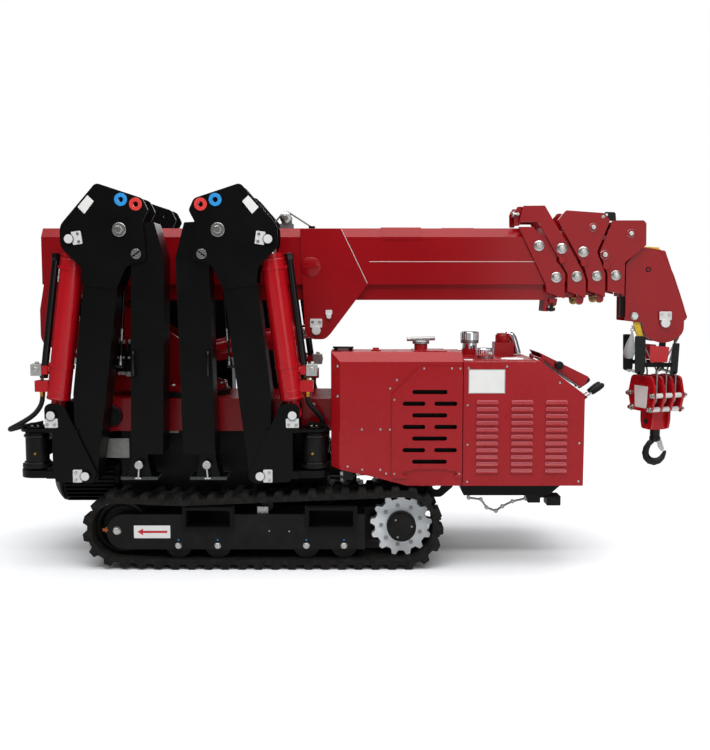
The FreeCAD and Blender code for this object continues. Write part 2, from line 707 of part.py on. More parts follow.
# Outrigger legs
HOSE_R = 10.0
FRONT_HOSE = (
    # x, y, z of each bend of the hose, from the valve to its gland on the pedestal
    (-577.0, -315.0, 770.0), (-577.0, -315.0, 730.0), (-593.0, -318.0, 694.0), (-620.0, -320.0, 664.0),
    (-658.0, -319.0, 640.0), (-698.0, -312.0, 618.0), (-732.0, -291.0, 602.0), (-744.0, -258.0, 594.0),
    (-730.0, -226.0, 596.0), (-700.0, -212.0, 602.0), (-668.0, -218.0, 606.0),
)
REAR_HOSE = (
    (-577.0, -315.0, 770.0), (-577.0, -315.0, 738.0), (-588.0, -307.0, 709.0), (-610.0, -290.0, 683.0),
    (-628.0, -277.0, 660.0), (-639.0, -267.0, 640.0), (-641.0, -262.0, 624.0),
)


def gland(route, length):
    """The socket that a hose ends in, in line with its last run."""
    end, before = V(*route[-1]), V(*route[-2])
    out = (end - before).normalize()
    start = end + out * SEAT
    return Part.makeCylinder(HOSE_R + 3.0, length, start, out)


def keeper(pin, turn, y):
    """A white keeper plate beside a pin's round end; turn is where the plate lies, in degrees."""
    c, s = math.cos(math.radians(turn)), math.sin(math.radians(turn))
    corner = []
    for u, v in ((12, -26), (52, -26), (52, 26), (12, 26)):
        corner.append((pin[0] + u * c - v * s, pin[1] + u * s + v * c, 4.0))
    return [slab(corner, y - 7.0, y), across(pin, PIN_R + 5.0, y - 14.0, y)]


def leg_planes():
    outer = -HUB_Y - LEG_W / 2
    inner = -HUB_Y + LEG_W / 2
    return outer, inner


def hub_plate(reach, low, high):
    """A plate of the pedestal: round about the hub, a neck, and the full width from NECK on."""
    outer, inner = leg_planes()
    hub = -HUB_X
    disc = rod((hub, -HUB_Y, low), (hub, -HUB_Y, high), WING_R)
    neck = block((hub, hub + NECK), (-HUB_Y - WING_R, -HUB_Y + WING_R), (low, high))
    return fused(disc, neck, block((hub + NECK - 1.0, hub + reach), (outer, inner), (low, high)))


def pedestal(hose):
    """The clevis that turns on the hub and carries the arm and the cylinder."""
    outer, inner = leg_planes()
    hub = -HUB_X
    wing_top = HUB_Z[1] + 8.0
    side = [(CYL_PIN[0] - 30.0, CYL_PIN[1] + 54.0, 28), (CYL_PIN[0] + 52.0, CYL_PIN[1] + 44.0, 35),
            (ARM_PIN[0] + 48.0, ARM_PIN[1] + 12.0, 20), (ARM_PIN[0] + 30.0, ARM_PIN[1] - 34.0, 20),
            (hub + HUB_R + 50.0, ARM_PIN[1] - 26.0, 10), (hub + HUB_R + 50.0, wing_top, 0),
            (CYL_PIN[0] - 30.0, wing_top, 0)]
    shapes = []
    for y in (outer, inner - PLATE):
        shapes.append(slab(side, y, y + PLATE))
    shapes.append(hub_plate(200.0, wing_top, wing_top + 12.0))
    lower = HUB_Z[0] - 8.0 - 32.0
    shapes.append(hub_plate(180.0, lower, lower + 32.0))
    rib = [(hub - WING_R + 6.0, wing_top + 11.0), (CYL_PIN[0] - 64.0, wing_top + 11.0),
           (CYL_PIN[0] - 64.0, wing_top + 42.0), (hub - WING_R + 6.0, wing_top + 22.0)]
    shapes.append(slab(rib, -HUB_Y - 8.0, -HUB_Y + 8.0))
    back = block((hub + HUB_R + 40.0, hub + HUB_R + 62.0), (outer + 1.0, inner - 1.0), (lower, wing_top + 1.0))
    shapes.append(back)
    pivot = rod((hub, -HUB_Y, lower), (hub, -HUB_Y, HUB_Z[0] - SEAT), 34.0)
    cap = rod((hub, -HUB_Y, HUB_Z[1] + SEAT), (hub, -HUB_Y, wing_top + 20.0), 34.0)
    shapes += [pivot, cap]
    whole = fused(*shapes)
    room = slab([(ARM_PIN[0] - 60.0, ARM_PIN[1] - 60.0), (ARM_PIN[0] + 90.0, ARM_PIN[1] - 60.0),
                 (ARM_PIN[0] + 90.0, 900.0), (ARM_PIN[0] - 100.0, 900.0)],
                outer + PLATE, inner - PLATE)
    whole = whole.cut(room)
    barrel_room = slab([(CYL_PIN[0] - 62.0, CYL_PIN[1] - 40.0), (CYL_PIN[0] + 90.0, CYL_PIN[1] - 40.0),
                        (CYL_PIN[0] + 90.0, 900.0), (CYL_PIN[0] - 62.0, 900.0)], outer + PLATE, inner - PLATE)
    whole = whole.cut(barrel_room)
    pins = [across(ARM_PIN, PIN_R, outer, inner), across(CYL_PIN, PIN_R, outer, inner)]
    caps = keeper(ARM_PIN, 180.0, outer) + keeper(CYL_PIN, -90.0, outer)
    return fused(whole, gland(hose, 26.0), *pins, *caps)


TOP_PLATE = [(-303, 1658, 25), (-108, 1594, 30), (-85, 1545, 20), (-108, 1500, 10), (-96, 1335, 20), (-177, 1316, 40),
             (-225, 1219, 0), (-368, 1236, 0), (-373, 1305, 40), (-458, 1390, 60), (-458, 1480, 60)]


def leg_arm():
    """The upper arm: a box beam from the pedestal, with two head plates for the knee."""
    outer, inner = leg_planes()
    low, high = outer + PLATE + 1.5, inner - PLATE - 1.5
    beam = slab([(-410, 385, 20), (-325, 385, 20), (-325, 448), (-283, 766), (-225, 1225), (-368, 1236),
                 (-424, 766), (-420, 460)], low, high)
    beam = beam.cut(across(ARM_PIN, PIN_R + PLAY, low - 1, high + 1))
    plates = []
    for y in (outer, inner - PLATE):
        plates.append(slab(TOP_PLATE, y, y + PLATE))
    neck = slab([(-225, 1190), (-368, 1200), (-368, 1236), (-300, 1300, 20), (-225, 1219)], outer + PLATE, inner - PLATE)
    pins = [across(KNEE_PIN, PIN_R, outer, inner), across(LOCK_PIN, PIN_R - 4.0, outer, inner),
            across(HEAD_PIN, PIN_R, outer, inner)]
    caps = keeper(HEAD_PIN, 8.0, outer) + [across(KNEE_PIN, 29.0, outer - 8.0, outer),
                                          across(LOCK_PIN, 20.0, outer - 8.0, outer)]
    whole = fused(beam, neck, *plates, *pins, *caps)
    for hole in LOCK_HOLES:
        whole = whole.cut(across(hole, LOCK_R, outer - 1, inner + 1))
    return whole


def inner_leg():
    """The lower leg that hangs from the knee, with its foot."""
    outer, inner = leg_planes()
    low, high = outer + PLATE + 1.5, inner - PLATE - 1.5
    shape = slab([(-182, 505), (-44, 505), (-24, 1345), (-63, 1495, 8), (-150, 1499, 8), (-245, 1480, 30),
                  (-245, 1420, 30), (-163, 1330)], low, high)
    shape = shape.cut(across(KNEE_PIN, PIN_R + PLAY, low - 1, high + 1))
    shape = shape.cut(across(LOCK_PIN, PIN_R - 4.0 + PLAY, low - 1, high + 1))
    lugs = []
    for y in (low + 10.0, high - 22.0):
        lugs.append(slab([(-182, 506), (-182, 480), (-200, FOOT_Z + 10), (-96, FOOT_Z + 10), (-112, 480), (-112, 506)],
                         y, y + 12.0))
    pad = block((-227.0, -72.0), (-HUB_Y - 60.0, -HUB_Y + 60.0), (FOOT_Z, FOOT_Z + 12.0))
    pin = across(FOOT_PIN, 10.0, low - 10.0, high)
    knob = across(FOOT_PIN, 18.0, low - 18.0, low - 8.0)
    return fused(shape, *lugs, pad, pin, knob)


def leg_cylinder():
    """The outrigger cylinder: barrel, gland, rod eye and the pilot tube beside it."""
    length = math.dist(CYL_PIN, HEAD_PIN)
    y = -HUB_Y

    def bar(start, end, radius, side=0.0):
        a = along(CYL_PIN, HEAD_PIN, start, side)
        b = along(CYL_PIN, HEAD_PIN, end, side)
        return rod((a[0], y, a[1]), (b[0], y, b[1]), radius)

    barrel = bar(60.0, length - 82.0, CYL_R)
    cap = bar(length - 83.0, length - 60.0, CYL_R - 6.0)
    stem = bar(length - 61.0, length - 20.0, 22.0)
    foot = across(CYL_PIN, 34.0, y - 30.0, y + 30.0)
    eye = across(HEAD_PIN, 32.0, y - 28.0, y + 28.0)
    neck = bar(10.0, 61.0, 30.0)
    tube = bar(150.0, length - 70.0, BAR_R, CYL_R + BAR_R + 8.0)
    clamps = [bar(at, at + 16.0, CYL_R + 4.0) for at in (200.0, length - 130.0)]
    arms = []
    for at in (208.0, length - 122.0):
        corners = ((-5.0, CYL_R - 10.0), (5.0, CYL_R - 10.0), (5.0, CYL_R + BAR_R + 4.0),
                   (-5.0, CYL_R + BAR_R + 4.0))
        arms.append(slab([along(CYL_PIN, HEAD_PIN, at + u, v) for u, v in corners], y - 8.0, y + 8.0))
    valve = along(CYL_PIN, HEAD_PIN, 110.0, CYL_R + 24.0)
    body = block((valve[0] - 28.0, valve[0] + 30.0), (y - 24.0, y + 24.0), (valve[1] - 24.0, valve[1] + 24.0))
    socket = gland(FRONT_HOSE[1::-1], 8.0)
    whole = fused(barrel, cap, stem, foot, eye, neck, tube, body, socket, *clamps, *arms)
    whole = whole.cut(across(CYL_PIN, PIN_R + PLAY, y - 40, y + 40))
    return whole.cut(across(HEAD_PIN, PIN_R + PLAY, y - 40, y + 40))


def cord(route, radius):
    """A tube of straight runs joined by tangent arcs, each as large as its two runs allow."""
    spots = [V(*p) for p in route]
    edges, at, smallest = [], spots[0], 1e9
    for i in range(1, len(spots) - 1):
        before, here, after = spots[i - 1:i + 2]
        a, b = (before - here), (after - here)
        reach = 0.45 * min(a.Length, b.Length)
        a.normalize()
        b.normalize()
        half = 0.5 * a.getAngle(b)
        bend = reach * math.tan(half)
        smallest = min(smallest, bend)
        start, end = here + a * reach, here + b * reach
        middle = (a + b).normalize()
        top = here + middle * (bend / math.sin(half) - bend)
        edges.append(Part.LineSegment(at, start).toShape())
        edges.append(Part.Arc(start, top, end).toShape())
        at = end
    edges.append(Part.LineSegment(at, spots[-1]).toShape())
    path = Part.Wire(edges)
    first = spots[1] - spots[0]
    ring = Part.Wire(Part.makeCircle(radius, spots[0], first))
    tube = path.makePipeShell([ring], True, False)
    print("cord", round(path.Length, 1), "smallest radius", round(smallest, 1),
          "volume share", round(tube.Volume / (math.pi * radius ** 2 * path.Length), 4))
    return tube


LEG_PIECES = (("arm", leg_arm()), ("inner_leg", inner_leg()), ("cylinder", leg_cylinder()))
LEGS = (
    # name, mirrored to the rear, mirrored to the right, hose route
    ("front_left", False, False, FRONT_HOSE),
    ("front_right", False, True, FRONT_HOSE),
    ("rear_left", True, False, REAR_HOSE),
    ("rear_right", True, True, REAR_HOSE),
)
for leg, to_rear, to_right, route in LEGS:
    pieces = (("pedestal", pedestal(route)),) + LEG_PIECES + (("hose", cord(route, HOSE_R)),)
    for piece, shape in pieces:
        if to_rear:
            shape = mirror_x(shape)
        if to_right:
            shape = mirror_y(shape)
        nodes[piece + "_" + leg] = shape


# Turret
def turret():
    """Two side plates on a round base, rising to the boom pin."""
    base = DECK_Z + RING_H + SEAT
    floor = base + 22.0
    ring = rod((0, 0, base), (0, 0, floor), RING_R - 15.0)
    tail = block((-330.0, -60.0), (-TURRET_Y, TURRET_Y), (base, floor))
    side = [(-330, base, 0), (100, base, 0), (100, floor + 10, 20), (30, 960, 60), (-180, 1100, 80),
            (-300, 1150, 60), (-480, 1385, 60), (BOOM_PIN[0] - 73.0, 1362, 60),
            (-626, 1230, 40), (-646, 1120, 30), (-646, 960, 60), (-520, 930, 60)]
    plates = []
    for y in (-TURRET_Y, TURRET_Y - TURRET_PLATE):
        plates.append(slab(side, y, y + TURRET_PLATE))
    pins = [across(BOOM_PIN, 24.0, -TURRET_Y - 10.0, TURRET_Y + 10.0),
            across(LUFF_PIN, 20.0, -TURRET_Y - 6.0, TURRET_Y + 6.0)]
    ears = []
    for side in (-1, 1):
        edges = sorted((side * (EYE_HALF + SEAT), side * (EYE_HALF + SEAT + TURRET_PLATE)))
        ears.append(slab([(LUFF_PIN[0] - 60.0, base), (LUFF_PIN[0] + 60.0, base),
                          (LUFF_PIN[0] + 45.0, LUFF_PIN[1] + 45.0, 40), (LUFF_PIN[0] - 45.0, LUFF_PIN[1] + 45.0, 40)],
                         *edges))
    tie = block((-640.0, -600.0), (-TURRET_Y + 1.0, TURRET_Y - 1.0), (1140.0, 1152.0))
    return fused(ring, tail, tie, *plates, *ears, *pins)


def winch():
    """The hoist drum between its flanges, with the rope wound on it."""
    y = TURRET_Y - TURRET_PLATE - SEAT
    drum = across(WINCH, WINCH_R - 22.0, -y, y)
    left = across(WINCH, WINCH_R, -y + 4.0, -y + 12.0)
    right = across(WINCH, WINCH_R, y - 12.0, y - 4.0)
    motor = across(WINCH, 46.0, TURRET_Y + SEAT, TURRET_Y + 32.0)
    block_valve = block((WINCH[0] - 34.0, WINCH[0] + 34.0), (TURRET_Y + 31.0, TURRET_Y + 48.0),
                        (WINCH[1] - 30.0, WINCH[1] + 38.0))
    return Part.Compound([fused(drum, left, right), fused(motor, block_valve)])


def luff_barrel():
    """The boom cylinder's barrel, pinned low in the turret."""
    length = math.dist(LUFF_PIN, LUFF_EYE)

    def bar(start, end, radius):
        a = along(LUFF_PIN, LUFF_EYE, start)
        b = along(LUFF_PIN, LUFF_EYE, end)
        return rod((a[0], 0, a[1]), (b[0], 0, b[1]), radius)

    barrel = bar(66.0, length - 95.0, LUFF_R)
    neck = bar(20.0, 67.0, 38.0)
    foot = across(LUFF_PIN, 42.0, -EYE_HALF, EYE_HALF)
    whole = fused(barrel, neck, foot)
    whole = whole.cut(bar(120.0, length, LUFF_ROD_R + 1.0))
    return whole.cut(across(LUFF_PIN, 20.0 + PLAY, -50, 50))


def luff_rod():
    """The boom cylinder's rod with its eye."""
    length = math.dist(LUFF_PIN, LUFF_EYE)
    a = along(LUFF_PIN, LUFF_EYE, 130.0)
    b = along(LUFF_PIN, LUFF_EYE, length - 20.0)
    bar = rod((a[0], 0, a[1]), (b[0], 0, b[1]), LUFF_ROD_R)
    eye = across(LUFF_EYE, 42.0, -40.0, 40.0)
    pin = across(LUFF_EYE, 20.0, -BOOM_HALF + SEAT, BOOM_HALF - SEAT)
    return fused(bar, eye, pin)


nodes["turret_frame"] = turret()
nodes["winch_drum"] = winch()
nodes["luff_barrel"] = luff_barrel()
nodes["luff_rod"] = luff_rod()


# Boom
def section_outline(inset):
    """The boom's cross-section in (y, z), shrunk by inset."""
    z0, z1, z2, z3 = BOOM_Z
    half = BOOM_HALF - inset
    low = 0.72 * BOOM_HALF - inset
    top = 0.62 * BOOM_HALF - 0.6 * inset
    return [(-low, z0 + inset), (low, z0 + inset), (low, z1 + inset), (half, z1 + inset), (half, z2 - 0.4 * inset),
            (top, z3 - inset), (-top, z3 - inset), (-half, z2 - 0.4 * inset), (-half, z1 + inset), (-low, z1 + inset)]


def tube(section, x0, x1):
    """A boom section's tube; sections count from the outermost."""
    inset = (section - 1) * (WALL + NEST)
    outer = slab(section_outline(inset), x0, x1, "x")
    return outer.cut(slab(section_outline(inset + WALL), x0 - 1.0, x1 + 1.0, "x"))


PAD_L = 70.0        # wear pads at the rear end of each inner section
PAD_SIDE = (1300.0, 1390.0)


def wear_pads(section):
    """Three pads near the section's rear end that slide on the inside of the section round it."""
    x0 = SECTION_X[section - 1][0] + 10.0
    inset = (section - 1) * (WALL + NEST)
    run = (x0, x0 + PAD_L)
    low = BOOM_Z[0] + inset
    half = 0.72 * BOOM_HALF - inset - 2.0
    pads = [block(run, (-half, half), (low - NEST + SEAT, low + 1.0))]
    for side in (-1, 1):
        near, far = BOOM_HALF - inset - 1.0, BOOM_HALF - inset + NEST - SEAT
        pads.append(block(run, sorted((side * near, side * far)), PAD_SIDE))
    return pads


COLLAR_PLATE = 12.0


def collar_plate(section, low, high):
    """One side plate of a collar."""
    if section == 1:
        points = [(1523, 1494), (1590, 1494), (1736, 1284), (1736, 1171), (1654, 1200), (1650, 1236)]
    elif section == 2:
        points = [(1526, 1516), (1542, 1588, 5), (1640, 1589, 5), (1816, 1296), (1832, 1252), (1832, 1175),
                  (1749, 1204), (1749, 1282), (1611, 1516)]
    elif section == 3:
        points = [(1700, 1525), (1735, 1568, 15), (1905, 1556, 10), (1936, 1524, 8), (1880, 1381), (1919, 1284),
                  (1921, 1179), (1842, 1208), (1842, 1252), (1828, 1300)]
    else:
        points = [(1949, 1523), (2088, 1523, 8), (2100, 1510, 8), (2102, 1412), (2008, 1334), (2008, 1189),
                  (1932, 1206), (1930, 1284), (1892, 1381)]
    return slab(points, low, high)


WASHERS = (
    # section, x, z, radius
    (1, 1616.0, 1409.0, 23.0), (1, 1697.0, 1267.0, 23.0),
    (2, 1719.0, 1397.0, 23.0), (2, 1790.0, 1271.0, 23.0),
    (3, 1817.0, 1382.0, 23.0), (3, 1881.0, 1273.0, 22.0), (3, 1860.0, 1492.0, 18.0),
    (4, 1915.0, 1369.0, 20.0), (4, 1967.0, 1276.0, 22.0), (4, 2031.0, 1464.0, 18.0),
)
COLLAR_Y = BOOM_HALF + 1.0
SECTION_X = (
    # start, end of the tube
    BOOM_X, (-490.0, 1800.0), (-430.0, 1888.0), (-370.0, 1976.0), (-310.0, 2100.0),
)


def collar(section):
    """A section's end: two side plates, their washers, and the ring that carries them."""
    x1 = SECTION_X[section - 1][1]
    inset = (section - 1) * (WALL + NEST)
    shapes = []
    for side in (-1, 1):
        low = side * COLLAR_Y if side > 0 else -COLLAR_Y - COLLAR_PLATE
        shapes.append(collar_plate(section, low, low + COLLAR_PLATE))
        for number, x, z, radius in WASHERS:
            if number == section:
                edge = side * (COLLAR_Y + COLLAR_PLATE)
                shapes.append(across((x, z), radius, min(edge, edge + side * 5.0), max(edge, edge + side * 5.0)))
    if section > 1:
        for side in (-1, 1):
            edges = sorted((side * (BOOM_HALF - inset - 1.0), side * (COLLAR_Y + 1.0)))
            shapes.append(block((x1 - 44.0, x1), edges, (BOOM_Z[1] + inset + 2.0, BOOM_Z[1] + inset + 46.0)))
    else:
        for side in (-1, 1):
            edges = sorted((side * (BOOM_HALF - 1.0), side * (COLLAR_Y + 1.0)))
            shapes.append(block((x1 - 44.0, x1), edges, (BOOM_Z[1] + 2.0, BOOM_Z[1] + 46.0)))
    if section in (2, 3, 4):
        span = {2: (1548.0, 1636.0, 1576.0), 3: (1745.0, 1895.0, 1548.0), 4: (1960.0, 2080.0, 1512.0)}[section]
        shapes.append(block(span[:2], (-COLLAR_Y - 1.0, COLLAR_Y + 1.0), (span[2], span[2] + 8.0)))
    return shapes


def gusset():
    """The plates that spread the boom cylinder's pull, with its lug below the boom."""
    points = [(535, 1486), (721, 1486), (843, 1237), (672, 1010, 0), (607 + 40, 985, 40), (607 - 50, 985, 50)]
    shapes = []
    for side in (-1, 1):
        low, high = sorted((side * BOOM_HALF, side * (BOOM_HALF + 8.0)))
        shapes.append(slab(points, low, high))
    return shapes


def base_section():
    ring = tube(1, *BOOM_X)
    boss = across(BOOM_PIN, 46.0, -BOOM_HALF - 8.0, BOOM_HALF + 8.0)
    whole = fused(ring, boss, *gusset(), *collar(1))
    return whole.cut(across(BOOM_PIN, 24.0 + PLAY, -200, 200))


nodes["boom_base"] = base_section()
for section, name in ((2, "boom_second"), (3, "boom_third"), (4, "boom_fourth")):
    nodes[name] = fused(tube(section, *SECTION_X[section - 1]), *collar(section), *wear_pads(section))


def boom_head():
    """The fifth section and the head: two cheeks round the sheaves."""
    points = [(2019, 1329, 30), (2085, 1400, 60), (2196, 1388, 5), (2306, 1086, 0), (2292, 1072, 0), (2292, 1010, 60),
              (2198, 945, 110), (2104, 1010, 60), (2104, 1060, 0), (2022, 1069, 5)]
    shapes = [tube(5, *SECTION_X[4])] + wear_pads(5)
    for side in (-1, 1):
        low, high = sorted((side * HEAD_HALF, side * (HEAD_HALF - 10.0)))
        shapes.append(slab(points, low, high))
        edges = sorted((side * (BOOM_HALF - 44.0 - 1.0), side * (HEAD_HALF - 9.0)))
        shapes.append(block((2040.0, 2095.0), edges, (1250.0, 1330.0)))
    pins = [across(SHEAVE_PIN, 20.0, -HEAD_HALF - 8.0, HEAD_HALF + 8.0)]
    for side in (-1, 1):
        pins.append(across(HEAD_STUD, 14.0, *sorted((side * (HEAD_HALF - 9.0), side * (HEAD_HALF + 6.0)))))
    return fused(*shapes, *pins)


def sheaves():
    """The head's three rope sheaves on their pin."""
    r = HEAD_SHEAVE_R
    bore = 20.0 + PLAY
    shapes = []
    for i in (-1, 0, 1):
        y = i * HEAD_STEP
        profile = [(bore, y - 10.0), (r, y - 10.0), (r - GROOVE, y - 3.0), (r - GROOVE, y + 3.0), (r, y + 10.0),
                   (bore, y + 10.0)]
        points = [V(SHEAVE_PIN[0] + u, v, SHEAVE_PIN[1]) for u, v in profile]
        face = Part.Face(Part.makePolygon(points + [points[0]]))
        shapes.append(face.revolve(V(SHEAVE_PIN[0], 0, SHEAVE_PIN[1]), Y_AXIS, 360))
    return Part.Compound(shapes)


def guide_roller():
    """The rope roller on top of the boom with its bracket."""
    place = (466.0, 1540.0)
    bracket = block((440.0, 500.0), (-30.0, 30.0), (BOOM_Z[3] + SEAT, 1512.0))
    cheeks = [slab([(446, 1505), (494, 1505), (490, 1540, 20), (450, 1560, 20)], y, y + 6.0) for y in (-30.0, 24.0)]
    roller = across(place, 26.0, -40.0, 40.0)
    return fused(bracket, roller, *cheeks)


nodes["boom_head"] = boom_head()
nodes["head_sheaves"] = sheaves()
nodes["rope_guide"] = guide_roller()


def hook_block():
    """Four cheek plates with three sheaves between them."""
    z0, z1 = BLOCK_Z
    mid = 0.5 * (z0 + z1)
    width = 3 * BLOCK_STEP + BLOCK_PLATE
    start = HOOK_X - width / 2
    shapes = []
    for i in range(4):
        x = start + i * BLOCK_STEP
        points = [(-75, z0 + 10, 30), (75, z0 + 10, 30), (98, mid, 50), (75, z1, 30), (-75, z1, 30), (-98, mid, 50)]
        shapes.append(slab(points, x, x + BLOCK_PLATE, "x"))
    shapes.append(rod((start, 0, mid), (start + width, 0, mid), 18.0))
    for y, z in ((84.0, mid), (66.0, mid - 66.0)):
        for side in (-1, 1):
            shapes.append(rod((start - 8.0, side * y, z), (start + width + 8.0, side * y, z), 8.0))
    for i in range(3):
        x = start + BLOCK_PLATE + (BLOCK_STEP - BLOCK_PLATE) / 2 - 8.0 + i * BLOCK_STEP
        shapes.append(rod((x, 0, mid), (x + 16.0, 0, mid), BLOCK_SHEAVE_R))
    shapes.append(block((HOOK_X - 40.0, HOOK_X + 40.0), (-24.0, 24.0), (CHEEK_Z, z0 + 40.0)))
    whole = fused(*shapes)
    whole = whole.cut(rod((HOOK_X, 0, CHEEK_Z - 1.0), (HOOK_X, 0, CHEEK_Z + 42.0), 14.0 + PLAY))
    whole.rotate(V(HOOK_X, 0, 0), Z_AXIS, BLOCK_YAW)
    return whole


def hoist_ropes():
    """Six falls of rope: up between the block's plates, then over to the head's sheaves."""
    mid = 0.5 * (BLOCK_Z[0] + BLOCK_Z[1])
    turn = math.radians(BLOCK_YAW)
    shapes = []
    for i in (-1, 0, 1):
        for side in (-1, 1):
            u, v = i * BLOCK_STEP, side * (BLOCK_SHEAVE_R + ROPE_R + SEAT)
            x = HOOK_X + u * math.cos(turn) - v * math.sin(turn)
            y = u * math.sin(turn) + v * math.cos(turn)
            low, bend = V(x, y, mid), V(x, y, BLOCK_Z[1] + 16.0)
            lead = V(SHEAVE_PIN[0] - side * (HEAD_SHEAVE_R - GROOVE + ROPE_R + SEAT), i * HEAD_STEP,
                     SHEAVE_PIN[1] - LEAD)
            shapes.append(fused(rod(low, bend, ROPE_R), Part.makeSphere(ROPE_R, bend), rod(bend, lead, ROPE_R),
                                Part.makeSphere(ROPE_R, lead), rod(lead, lead + V(0, 0, LEAD), ROPE_R)))
    return Part.Compound(shapes)


nodes["hook_block"] = hook_block()
nodes["hoist_ropes"] = hoist_ropes()


def hook():
    """A forged hook: a shank, a neck, and a body that thickens to the bowl and tapers to its tip."""
    top = CHEEK_Z + 40.0
    shank = rod((HOOK_X, 0, CHEEK_Z - 60.0), (HOOK_X, 0, top), 14.0)
    bowl = V(HOOK_X, 0, BOWL_Z)
    rings = []
    for turn, reach, radius in reversed(BOWL):
        angle = math.radians(turn)
        out = V(math.cos(angle), 0, math.sin(angle))
        along_bowl = V(-math.sin(angle), 0, math.cos(angle))
        rings.append(Part.Wire(Part.makeCircle(radius, bowl + out * reach, along_bowl)))
    body = Part.makeLoft(rings, True, True)
    collar = rod((HOOK_X, 0, CHEEK_Z - 52.0), (HOOK_X, 0, CHEEK_Z - SEAT), 22.0)
    return fused(shank, collar, body)


nodes["load_hook"] = hook()

# Placing and writing
whole = Part.Compound([shape for name, shape in nodes.items() if "hose" not in name]).BoundBox
shift = V(-0.5 * (whole.XMin + whole.XMax), 0, 0)
os.makedirs("parts", exist_ok=True)
for name, shape in nodes.items():
    placed = shape.copy()
    placed.translate(shift)
    placed.exportStep("parts/" + name + ".step")
    print(name, len(placed.Solids), round(placed.Volume), placed.isValid())
print("moved by", round(shift.x, 3), round(shift.z, 3), "box", whole)
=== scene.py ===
import bmesh
import bpy
import math
from mathutils import Matrix, Vector


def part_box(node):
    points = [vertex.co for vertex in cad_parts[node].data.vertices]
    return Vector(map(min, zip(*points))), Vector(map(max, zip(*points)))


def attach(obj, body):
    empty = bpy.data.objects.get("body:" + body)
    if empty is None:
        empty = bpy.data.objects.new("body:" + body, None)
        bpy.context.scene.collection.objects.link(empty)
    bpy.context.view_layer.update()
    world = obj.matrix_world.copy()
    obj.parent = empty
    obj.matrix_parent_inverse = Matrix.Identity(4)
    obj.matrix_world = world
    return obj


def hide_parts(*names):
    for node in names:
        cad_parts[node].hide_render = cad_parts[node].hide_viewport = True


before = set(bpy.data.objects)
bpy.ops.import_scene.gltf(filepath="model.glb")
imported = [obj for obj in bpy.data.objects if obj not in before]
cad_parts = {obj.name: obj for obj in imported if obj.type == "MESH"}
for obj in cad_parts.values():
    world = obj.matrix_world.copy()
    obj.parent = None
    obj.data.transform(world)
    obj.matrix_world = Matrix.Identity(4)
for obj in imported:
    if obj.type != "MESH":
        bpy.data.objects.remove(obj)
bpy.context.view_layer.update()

# A mini crawler crane, parked. Every place below is in millimetres, with X measured from the slew axis,
# and place() turns it into the frame's metres.
low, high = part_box("slew_ring")
AXIS_X = 0.5 * (low[0] + high[0])
MM = 0.001


def place(x, y, z):
    """A point in metres from millimetres whose X starts at the slew axis."""
    return Vector((AXIS_X + x * MM, y * MM, z * MM))


# Materials
def colour(code):
    """A linear colour from an sRGB hex value."""
    values = []
    for i in (0, 2, 4):
        c = int(code[i:i + 2], 16) / 255
        values.append(c / 12.92 if c <= 0.04045 else ((c + 0.055) / 1.055) ** 2.4)
    return (*values, 1.0)


def add(tree, kind, settings=None, links=None):
    """One node with its settings (sockets by name or number, properties by attribute) and links."""
    node = tree.nodes.new(kind)
    for key, value in (settings or {}).items():
        if isinstance(key, str) and hasattr(node, key):
            setattr(node, key, value)
        else:
            node.inputs[key].default_value = value
    for key, source in (links or {}).items():
        tree.links.new(source, node.inputs[key])
    return node


